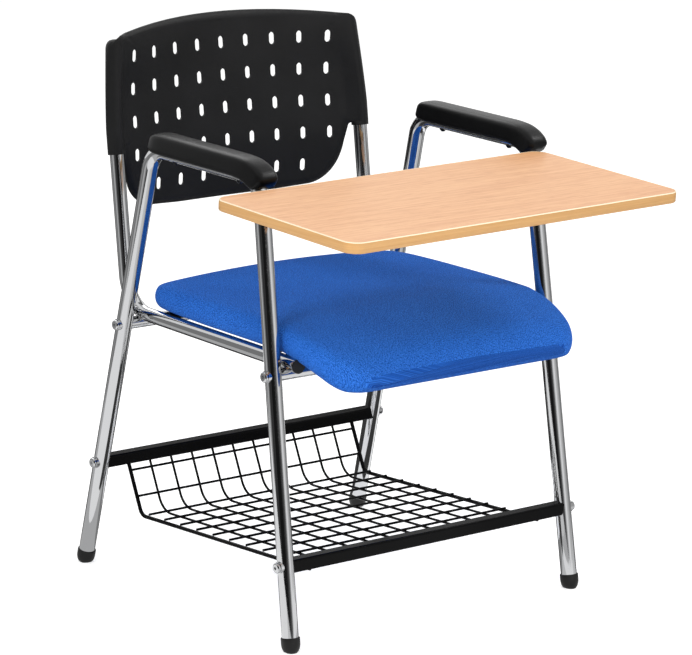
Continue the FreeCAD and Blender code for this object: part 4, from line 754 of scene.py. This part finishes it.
inner_shares = np.linspace(0.97, 0.10, 22)
rim_insets = (0.014, 0.011, 0.008, 0.006, 0.004)
half_wall = SHELL_WALL / 2
rings = [panel_ring(reach * share, 0) for share in inner_shares]
rings += [panel_ring(np.full_like(reach, inset), 0) for inset in rim_insets]
for edge in np.linspace(0, math.pi, 9):
    inset, deep = half_wall * (1 - math.sin(edge)), half_wall * (1 - math.cos(edge))
    rings.append(panel_ring(np.full_like(reach, inset), deep))
rings += [panel_ring(np.full_like(reach, inset), SHELL_WALL) for inset in reversed(rim_insets)]
rings += [panel_ring(reach * share, SHELL_WALL) for share in reversed(inner_shares)]
panel = grid_mesh("black_back_panel", placed(np.array(rings)))
print("panel", len(panel.data.vertices), "points")

# %% [markdown]
# The slots let air through and make the shell lighter. All of them are cut in
# one go by a single mesh of round-ended prisms that stand square to the back.

# %% Slots
SLOT_WIDTH, SLOT_LENGTH, PITCH_X, PITCH_Z, ROW_DROP = 0.0108, 0.0195, 0.0471, 0.0505, 0.0063
TOP_ROW_Z, DROP_CHORD, SLOT_ROWS, SLOT_COLUMNS, SHORT_ROW = 0.802, 0.400, 5, 9, 7
PUNCH_FRONT, PUNCH_REAR, SLOT_SIDES = -0.04, 0.07, 28
SLOT_CRISP_ANGLE = math.radians(40)


def slot_centres():
    """Rows at an even pitch, the lowest one shorter; each row sags with the square of x."""
    rows = []
    for row in range(SLOT_ROWS):
        columns = SHORT_ROW if row == SLOT_ROWS - 1 else SLOT_COLUMNS
        x = (np.arange(columns) - (columns - 1) / 2) * PITCH_X
        sag = ROW_DROP * (2 * x / DROP_CHORD) ** 2
        rows.append(np.stack([x, TOP_ROW_Z - row * PITCH_Z - sag], -1))
    return np.concatenate(rows)


angle = np.linspace(0, math.tau, SLOT_SIDES, endpoint=False)
half_straight = (SLOT_LENGTH - SLOT_WIDTH) / 2
slot_x = SLOT_WIDTH / 2 * np.cos(angle)
slot_h = SLOT_WIDTH / 2 * np.sin(angle) + np.sign(np.sin(angle + 1e-9)) * half_straight
vertices, faces = [], []
k = np.arange(SLOT_SIDES)
following = (k + 1) % SLOT_SIDES
for number, (x, z) in enumerate(slot_centres()):
    for y in (PUNCH_FRONT, PUNCH_REAR):
        vertices.append(on_back(x + slot_x, np.full(SLOT_SIDES, y), up_lean(z) + slot_h))
    base = number * 2 * SLOT_SIDES
    walls = np.stack([k, k + SLOT_SIDES, following + SLOT_SIDES, following], -1)
    faces += (base + walls).tolist()
    faces += [(base + k).tolist(), (base + SLOT_SIDES + k[::-1]).tolist()]
punch_mesh = bpy.data.meshes.new("slot_punches")
punch_mesh.from_pydata(placed(np.concatenate(vertices)).tolist(), [], faces)
punch = bpy.data.objects.new("slot_punches", punch_mesh)
bpy.context.scene.collection.objects.link(punch)
cut = panel.modifiers.new("slots", "BOOLEAN")
cut.operation, cut.object, cut.solver = "DIFFERENCE", punch, "MANIFOLD"
ready = panel.evaluated_get(bpy.context.evaluated_depsgraph_get())
cut_mesh = bpy.data.meshes.new_from_object(ready)
panel.modifiers.clear()
panel.data = cut_mesh
bpy.data.objects.remove(punch)
cut_mesh.polygons.foreach_set("use_smooth", [True] * len(cut_mesh.polygons))
cut_mesh.set_sharp_from_angle(angle=SLOT_CRISP_ANGLE)
print("panel with slots", len(cut_mesh.vertices), "points")


# %% [markdown]
# A sleeve down each side drops over the upright. It is a tube whose first two
# rings lie in its bore, so its lower end shows a wall, and it stays a hair
# behind the panel's front face, so the two surfaces never fight.

# %% Sleeves
SLEEVE_BORE, BORE_DEPTH, SLEEVE_BEHIND, SLEEVE_POINTS = 0.0113, 0.02, 0.0004, 48
DOME_RISE = np.array([0.35, 0.62, 0.80, 0.88])
DOME_SHARE = np.array([0.93, 0.78, 0.58, 0.25])


def sleeve_grid(side):
    """Tube round the tapering edge, its y never in front of the panel, with a dome on top."""
    notch = up_lean(NOTCH_TOP)
    h = np.linspace(up_lean(SLEEVE_LOW) + SLEEVE_BEHIND, up_lean(CORNER_Z) - SLEEVE_RADIUS, SLEEVE_POINTS)
    wall = np.full(SLEEVE_POINTS, SLEEVE_RADIUS - SLEEVE_BEHIND / 2)
    radius = np.concatenate([[SLEEVE_BORE, SLEEVE_BORE], wall, SLEEVE_RADIUS * DOME_SHARE])
    h = np.concatenate([[h[0] + BORE_DEPTH, h[0]], h, h[-1] + SLEEVE_RADIUS * DOME_RISE])
    angle = np.linspace(0, math.tau, SLEEVE_POINTS, endpoint=False)
    x = (half_width(h) - SLEEVE_RADIUS)[:, None] + radius[:, None] * np.cos(angle)
    up = np.broadcast_to(h[:, None], x.shape)
    y = radius[:, None] * np.sin(angle)
    behind = panel_front(x, np.maximum(up, notch)) + SLEEVE_BEHIND
    y = np.where(up > notch + 0.001, np.maximum(y, behind), y)
    return on_back(side * x, y, up)


def join_into(main, others):
    """One object out of several; it keeps the first one's name."""
    with bpy.context.temp_override(active_object=main, selected_editable_objects=[main] + others,
                                   selected_objects=[main] + others, object=main):
        bpy.ops.object.join()


sleeves = [grid_mesh("sleeve_part_%d" % (side > 0), placed(sleeve_grid(side))) for side in (-1, 1)]
join_into(panel, sleeves)
finish_piece(panel, "chair", "black_shell", shell_plastic, "back_shell")

# %% [markdown]
# Arm pads
# Each pad is one moulding with a soft skin: a broad top that slopes to rounded
# shoulders, blunt behind and drooping over the bend of the tube in front. It is
# a boxy oval carried along a line that dips at the nose. The table gives the
# line, the size of the oval and its tilt.

# %% Pads
PAD_X = frame_x(ARM)
BOX_POWER, PAD_NARROWING, PAD_CROWN = 5, 0.13, 0.05
# share along, y, middle z, half height, half width, tilt in degrees
pad_rows = np.array([
    (0.000, 0.1245, 0.6958, 0.0040, 0.0120, 0.0),
    (0.006, 0.1229, 0.6960, 0.0078, 0.0170, 0.0),
    (0.020, 0.1190, 0.6962, 0.0115, 0.0210, 0.0),
    (0.045, 0.1122, 0.6964, 0.0141, 0.0234, 0.0),
    (0.080, 0.1026, 0.6965, 0.0153, 0.0245, 0.0),
    (0.130, 0.0889, 0.6965, 0.0157, 0.0248, 0.0),
    (0.480, -0.0050, 0.6965, 0.0157, 0.0248, 0.0),
    (0.760, -0.0850, 0.6965, 0.0157, 0.0248, 0.0),
    (0.850, -0.1100, 0.6950, 0.0158, 0.0248, 9.0),
    (0.910, -0.1270, 0.6905, 0.0162, 0.0248, 24.0),
    (0.955, -0.1390, 0.6845, 0.0158, 0.0245, 36.0),
    (0.985, -0.1465, 0.6790, 0.0135, 0.0230, 44.0),
    (1.000, -0.1495, 0.6765, 0.0085, 0.0170, 48.0)])


def pad_grid(side, stations=96, around=72):
    """Section: |x/w|^5 + |z/h|^5 = 1, a quarter narrower at the top than below, tilted with the line."""
    along = (1 - np.cos(np.linspace(0, math.pi, stations))) / 2
    y, z, high, wide, tilt = smooth_columns(pad_rows, along).T
    angle = np.linspace(0, math.tau, around, endpoint=False)
    cosine, sine = np.cos(angle), np.sin(angle)
    across = np.sign(cosine) * np.abs(cosine) ** (2 / BOX_POWER)
    lift = np.sign(sine) * np.abs(sine) ** (2 / BOX_POWER)
    across = across * (1 - PAD_NARROWING * (lift + 1))
    lift = lift - PAD_CROWN * across ** 2 * (lift > 0)
    turn_by = np.radians(tilt)[:, None]
    h = high[:, None] * lift[None]
    x = side * PAD_X + wide[:, None] * across[None]
    return np.stack([x, y[:, None] - h * np.sin(turn_by), z[:, None] + h * np.cos(turn_by)], -1)


for word, side in (("right", -1), ("left", 1)):
    arm_pad = grid_mesh("black_arm_pad_" + word, placed(pad_grid(side)))
    finish_piece(arm_pad, "chair", "arm_pad_black", pad_skin, "arm_pad_" + word)

# %% [markdown]
# Foot caps
# A push-on cap is a turned shape along the leg: a round bottom, a straight
# skirt and a small rolled lip. Where it meets the floor it is pressed flat.

# %% Caps
CAP_RADIUS, DOME_MIDDLE, DOME_HEIGHT = 0.0143, 0.013, 0.019
# radius and height of the skirt's two ends and of the lip
cap_upper = np.array([(0.0143, 0.0160), (0.0143, 0.0208), (0.0139, 0.0216), (0.0132, 0.0220),
                      (0.0124, 0.0221)])


def cap_grid(side, y_of):
    """Dome: radius times sin a, and middle less height times cos a; then the skirt and the lip."""
    foot = np.array([side * frame_x(0), y_of(0), 0])
    way = np.array([side * frame_x(ARM), y_of(ARM), ARM]) - foot
    way /= np.linalg.norm(way)
    a = np.radians([4, 15, 28, 40, 52, 63, 73, 82, 90])
    radius = np.concatenate([CAP_RADIUS * np.sin(a), cap_upper[:, 0]])
    along = np.concatenate([DOME_MIDDLE - DOME_HEIGHT * np.cos(a), cap_upper[:, 1]])
    grid = tube_grid(placed(foot + along[:, None] * way), radius, (1, 0, 0), 40)
    grid[..., 2] = np.maximum(grid[..., 2], 0.0)
    return grid


caps = [grid_mesh("black_foot_caps", cap_grid(side, y_of))
        for side in (-1, 1) for y_of in (front_y, rear_y)]
join_into(caps[0], caps[1:])
finish_piece(caps[0], "chair", "cap_rubber", rubber, "foot_caps")

# %% [markdown]
# The tablet's edge
# The laminate board is closed all round by a straw-coloured plastic band. Its two corners are broken by a
# small slope, and the pale line that runs round the board is a painted highlight along the upper one. The
# band is a short profile carried round the board's outline, in the board's own leaning frame; its UV map
# tells the material how far down the band a point lies.

# %% Edge band
TABLET_LONG, TABLET_DEEP, TABLET_THICK, BAND, TABLET_CORNER = 0.632, 0.305, 0.016, 0.0012, 0.022
BAND_RUN, SAME_SPOT = 1.86, 0.00001
TABLET_SPOT = np.array([-0.057, -0.323, 0.672])
YAW, TILT = np.radians([2.0, 2.0])
about_z = np.array([[math.cos(YAW), -math.sin(YAW), 0], [math.sin(YAW), math.cos(YAW), 0], [0, 0, 1]])
about_x = np.array([[1, 0, 0], [0, math.cos(TILT), -math.sin(TILT)], [0, math.sin(TILT), math.cos(TILT)]])
tablet_turn = about_z @ about_x


def in_tablet(points):
    """The board's own frame (middle of its top face) to the drawing."""
    return np.asarray(points) @ tablet_turn.T + TABLET_SPOT


a, b = TABLET_LONG / 2, TABLET_DEEP / 2
outline = rounded_path([(a, b, 0), (-a, b, 0), (-a, -b, 0), (a, -b, 0)], (TABLET_CORNER,) * 4,
                       closed=True, arc_steps=18)
step = np.roll(outline, -1, 0) - np.roll(outline, 1, 0)
outward = np.stack([step[:, 1], -step[:, 0], 0 * step[:, 0]], -1)
outward /= np.linalg.norm(outward, axis=1, keepdims=True)
outward *= np.sign((outward * outline).sum(1).mean())
# out from the board's outline, and up from its top face
band_profile = np.array([(-0.0007, 0.0), (-0.0006, 0.0001), (0.0004, 0.0), (BAND, -0.0010),
                         (BAND, -0.0012), (BAND + 0.00015, -0.008), (BAND, -0.0148),
                         (0.0002, -TABLET_THICK), (-0.0002, -TABLET_THICK)])
ring = (outline[:, None] + outward[:, None] * band_profile[None, :, :1]
        + np.array([0, 0, 1.0]) * band_profile[None, :, 1:])
closed_ring = np.concatenate([ring, ring[:1]])
band = grid_mesh("straw_edge_band", placed(in_tablet(closed_ring)), wrap=True, caps=False)
around_band = np.linspace(0, BAND_RUN, len(outline) + 1)
across_band = np.array([0.0, 0.04, 0.08, 0.12, 0.30, 0.55, 0.80, 0.95, 1.0])
set_uv(band, np.stack(np.meshgrid(around_band, across_band, indexing="ij"), -1).reshape(-1, 2))
weld = band.modifiers.new("weld", "WELD")
weld.merge_threshold = SAME_SPOT
finish_piece(band, "tablet", "beech_edging", edging, "tablet_edge_band")

# %% [markdown]
# Camera
# The photograph was taken from in front and to the sitter's right, a little
# above the seat, with a long lens. The angles, the distance and the focal
# length were found by matching feet, legs, bolts, arm pads, shell, basket and
# tablet to the photograph. The shift is the picture's middle, off the lens's.

# %% Camera
AZIMUTH, HEIGHT_ANGLE, ROLL = np.radians([-38.631, 13.848, 1.42])
FAR, AIM_Z, FOCAL_PIXELS, SHIFT_PIXELS, FRAME_WIDTH, SENSOR = 5.5788, 0.400, 3641.48, 7.093, 692, 36.0
aim = Vector(placed((0, 0, AIM_Z)))
back = Vector((math.sin(AZIMUTH) * math.cos(HEIGHT_ANGLE),
               -math.cos(AZIMUTH) * math.cos(HEIGHT_ANGLE), math.sin(HEIGHT_ANGLE)))
right = (-back).cross(Vector((0, 0, 1))).normalized()
above = right.cross(-back)
cam_x = math.cos(ROLL) * right + math.sin(ROLL) * above
cam_y = -math.sin(ROLL) * right + math.cos(ROLL) * above
camera_data = bpy.data.cameras.new("camera")
camera_data.sensor_fit = "HORIZONTAL"
camera_data.sensor_width = SENSOR
camera_data.lens = FOCAL_PIXELS / FRAME_WIDTH * SENSOR
camera_data.shift_x = SHIFT_PIXELS / FRAME_WIDTH
camera_data.clip_end = 100
camera = bpy.data.objects.new("camera", camera_data)
turn = Matrix((cam_x, cam_y, back)).transposed().to_4x4()
camera.matrix_world = Matrix.Translation(aim + back * FAR) @ turn
bpy.context.scene.collection.objects.link(camera)
bpy.context.scene.camera = camera
bpy.context.scene.view_settings.view_transform = "Standard"
print("lens", round(camera_data.lens, 1), "at", [round(c, 3) for c in camera.location])

# %% [markdown]
# Floor and world
# The photograph has a plain white ground. The floor is pale and keeps the
# chair's shadow; for the camera and for mirrors a little plain white is added,
# so that it reads as paper. The world does the same.

# %% Floor and world
WORLD_LIGHT, WORLD_SEEN, FLOOR_SEEN = 0.55, 1.0, 0.58


def white_for_camera(nodes_in, links_in):
    """1 for rays that the eye, a mirror or glass sends out, 0 for the light that lights things."""
    path = nodes_in.new("ShaderNodeLightPath")
    seen = path.outputs["Is Camera Ray"]
    for ray in ("Is Glossy Ray", "Is Transmission Ray"):
        either = nodes_in.new("ShaderNodeMath")
        either.operation = "MAXIMUM"
        links_in.new(seen, either.inputs[0])
        links_in.new(path.outputs[ray], either.inputs[1])
        seen = either.outputs["Value"]
    return seen


world = bpy.data.worlds.new("studio")
bpy.context.scene.world = world
world.use_nodes = True
sky = world.node_tree.nodes["Background"]
lift = world.node_tree.nodes.new("ShaderNodeMapRange")
lift.inputs["To Min"].default_value = WORLD_LIGHT
lift.inputs["To Max"].default_value = WORLD_SEEN
world_links = world.node_tree.links
world_links.new(white_for_camera(world.node_tree.nodes, world_links), lift.inputs["Value"])
world_links.new(lift.outputs["Result"], sky.inputs["Strength"])
sky.inputs["Color"].default_value = (1, 1, 1, 1)

floor_mat = bpy.data.materials.new("paper floor")
floor_mat.use_nodes = True
tree = floor_mat.node_tree
paper = tree.nodes["Principled BSDF"]
paper.inputs["Base Color"].default_value = (0.80, 0.80, 0.80, 1)
paper.inputs["Roughness"].default_value = 0.9
paper.inputs["Specular IOR Level"].default_value = 0.0
paper.inputs["Emission Color"].default_value = (1, 1, 1, 1)
glow = tree.nodes.new("ShaderNodeMapRange")
glow.inputs["To Max"].default_value = FLOOR_SEEN
tree.links.new(white_for_camera(tree.nodes, tree.links), glow.inputs["Value"])
tree.links.new(glow.outputs["Result"], paper.inputs["Emission Strength"])
bpy.ops.mesh.primitive_grid_add(x_subdivisions=8, y_subdivisions=8, size=40)
floor = bpy.context.object
floor.name = "floor"
floor.data.materials.append(floor_mat)
print("world and floor ready")

# %% [markdown]
# Light
# Four soft lamps and the white world light the chair evenly, as in a catalogue studio. Chrome shows only
# what stands round it. A ring of cards, darkest towards the camera and lighter to both sides, gives the
# tubes the streaks that they have in the photograph. Cards on the floor do the same for what the tubes
# mirror from below. A small dark one behind each foot is painted shade on the floor there, and it darkens
# what the lower end of its leg mirrors. Only mirrors see the cards.

# %% Lamps and cards
LAMP_AIM = Vector(placed((0, 0, 0.45)))


def soft_lamp(name, place, size, power):
    data = bpy.data.lights.new(name, "AREA")
    data.shape = "RECTANGLE"
    data.size, data.size_y = size
    data.energy = power
    lamp = bpy.data.objects.new(name, data)
    lamp.location = place
    lamp.rotation_euler = (LAMP_AIM - Vector(place)).to_track_quat("-Z", "Y").to_euler()
    lamp.visible_camera = False
    bpy.context.scene.collection.objects.link(lamp)


soft_lamp("lamp left", (-3.3, -1.2, 2.0), (1.8, 1.8), 52)
soft_lamp("lamp front", (-1.2, -4.2, 1.5), (2.2, 1.6), 70)
soft_lamp("lamp back", (0.8, 3.0, 2.8), (2.4, 1.4), 22)
soft_lamp("lamp rim", (2.3, -0.9, 3.2), (1.0, 1.0), 34)


def card(name, level, grid):
    """An even glow of the given level that only mirrors see, and neither the camera nor the cloth."""
    mat, shader, _, _ = new_material(name)
    shader.inputs["Base Color"].default_value = (0, 0, 0, 1)
    shader.inputs["Specular IOR Level"].default_value = 0.0
    shader.inputs["Emission Color"].default_value = (level, level, level, 1)
    shader.inputs["Emission Strength"].default_value = 1.0
    sheet = grid_mesh(name, grid, wrap=False)
    sheet.data.materials.append(mat)
    sheet.visible_camera = sheet.visible_diffuse = False
    sheet.visible_shadow = sheet.visible_transmission = False


def round_wall(start, end, low, high, distance):
    """Part of a cylinder round the chair; bearings count from the camera, clockwise seen from above."""
    t = AZIMUTH + np.radians(np.linspace(start, end, 9))
    tt, hh = np.meshgrid(t, np.linspace(low, high, 3), indexing="ij")
    return np.stack([distance * np.sin(tt), -distance * np.cos(tt), hh], -1)


def floor_fan(centre, start, end, near, far, height):
    """Part of a flat ring just over the floor, round the given point, in the same bearings."""
    t = AZIMUTH + np.radians(np.linspace(start, end, 9))
    tt, rr = np.meshgrid(t, np.linspace(near, far, 3), indexing="ij")
    return np.stack([centre[0] + rr * np.sin(tt), centre[1] - rr * np.cos(tt), 0 * tt + height], -1)


CARD_RING, CARD_LIFT, FOOT_CARD_LIFT = 1.5, 0.001, 0.003
TALL, SHORT, TALL_UNTIL = 1.9, 0.6, 110
# bearing where a card starts, bearing where it ends, level
wall_cards = [
    (-150, -124, 0.10), (-124, -104, 0.36), (-104, -86, 0.27), (-86, -68, 0.60),
    (-68, -56, 0.25), (-56, -28, 0.05), (-28, 10, 0.012), (10, 24, 0.05),
    (24, 38, 0.15), (38, 50, 0.70), (50, 66, 1.10), (66, 84, 0.75),
    (84, 102, 0.50), (102, 124, 0.25), (124, 148, 0.55), (148, 210, 0.06)]
for number, (start, end, level) in enumerate(wall_cards):
    high = TALL if abs(start) < TALL_UNTIL else SHORT
    card("wall_card_%02d" % number, level, round_wall(start, end, CARD_LIFT, high, CARD_RING))
# painted shade: a dark card on the floor behind each foot, which only the lower leg's mirror sees
FOOT_X, FOOT_FRONT, FOOT_REAR, FOOT_SHADE_LEVEL = 0.26, -0.249, 0.283, 0.06
foot_spots = placed([(side * FOOT_X, y, 0) for side in (-1, 1) for y in (FOOT_FRONT, FOOT_REAR)])
for number, (spot, far) in enumerate(zip(foot_spots, (0.34, 1.0, 0.45, 0.9))):
    card("foot_shade_card_%d" % number, FOOT_SHADE_LEVEL, floor_fan(spot, 135, 228, 0.02, far, FOOT_CARD_LIFT))
floor_cards = [
    (-138, -114, 0.30), (-114, -92, 0.60), (-92, -20, 1.12), (-20, 8, 0.82),
    (8, 36, 0.60), (36, 80, 1.10), (80, 106, 0.75), (106, 138, 0.32)]
for number, (start, end, level) in enumerate(floor_cards):
    card("floor_card_%d" % number, level, floor_fan((0, 0), start, end, 0.0, CARD_RING, CARD_LIFT))
print("lamps and cards ready")
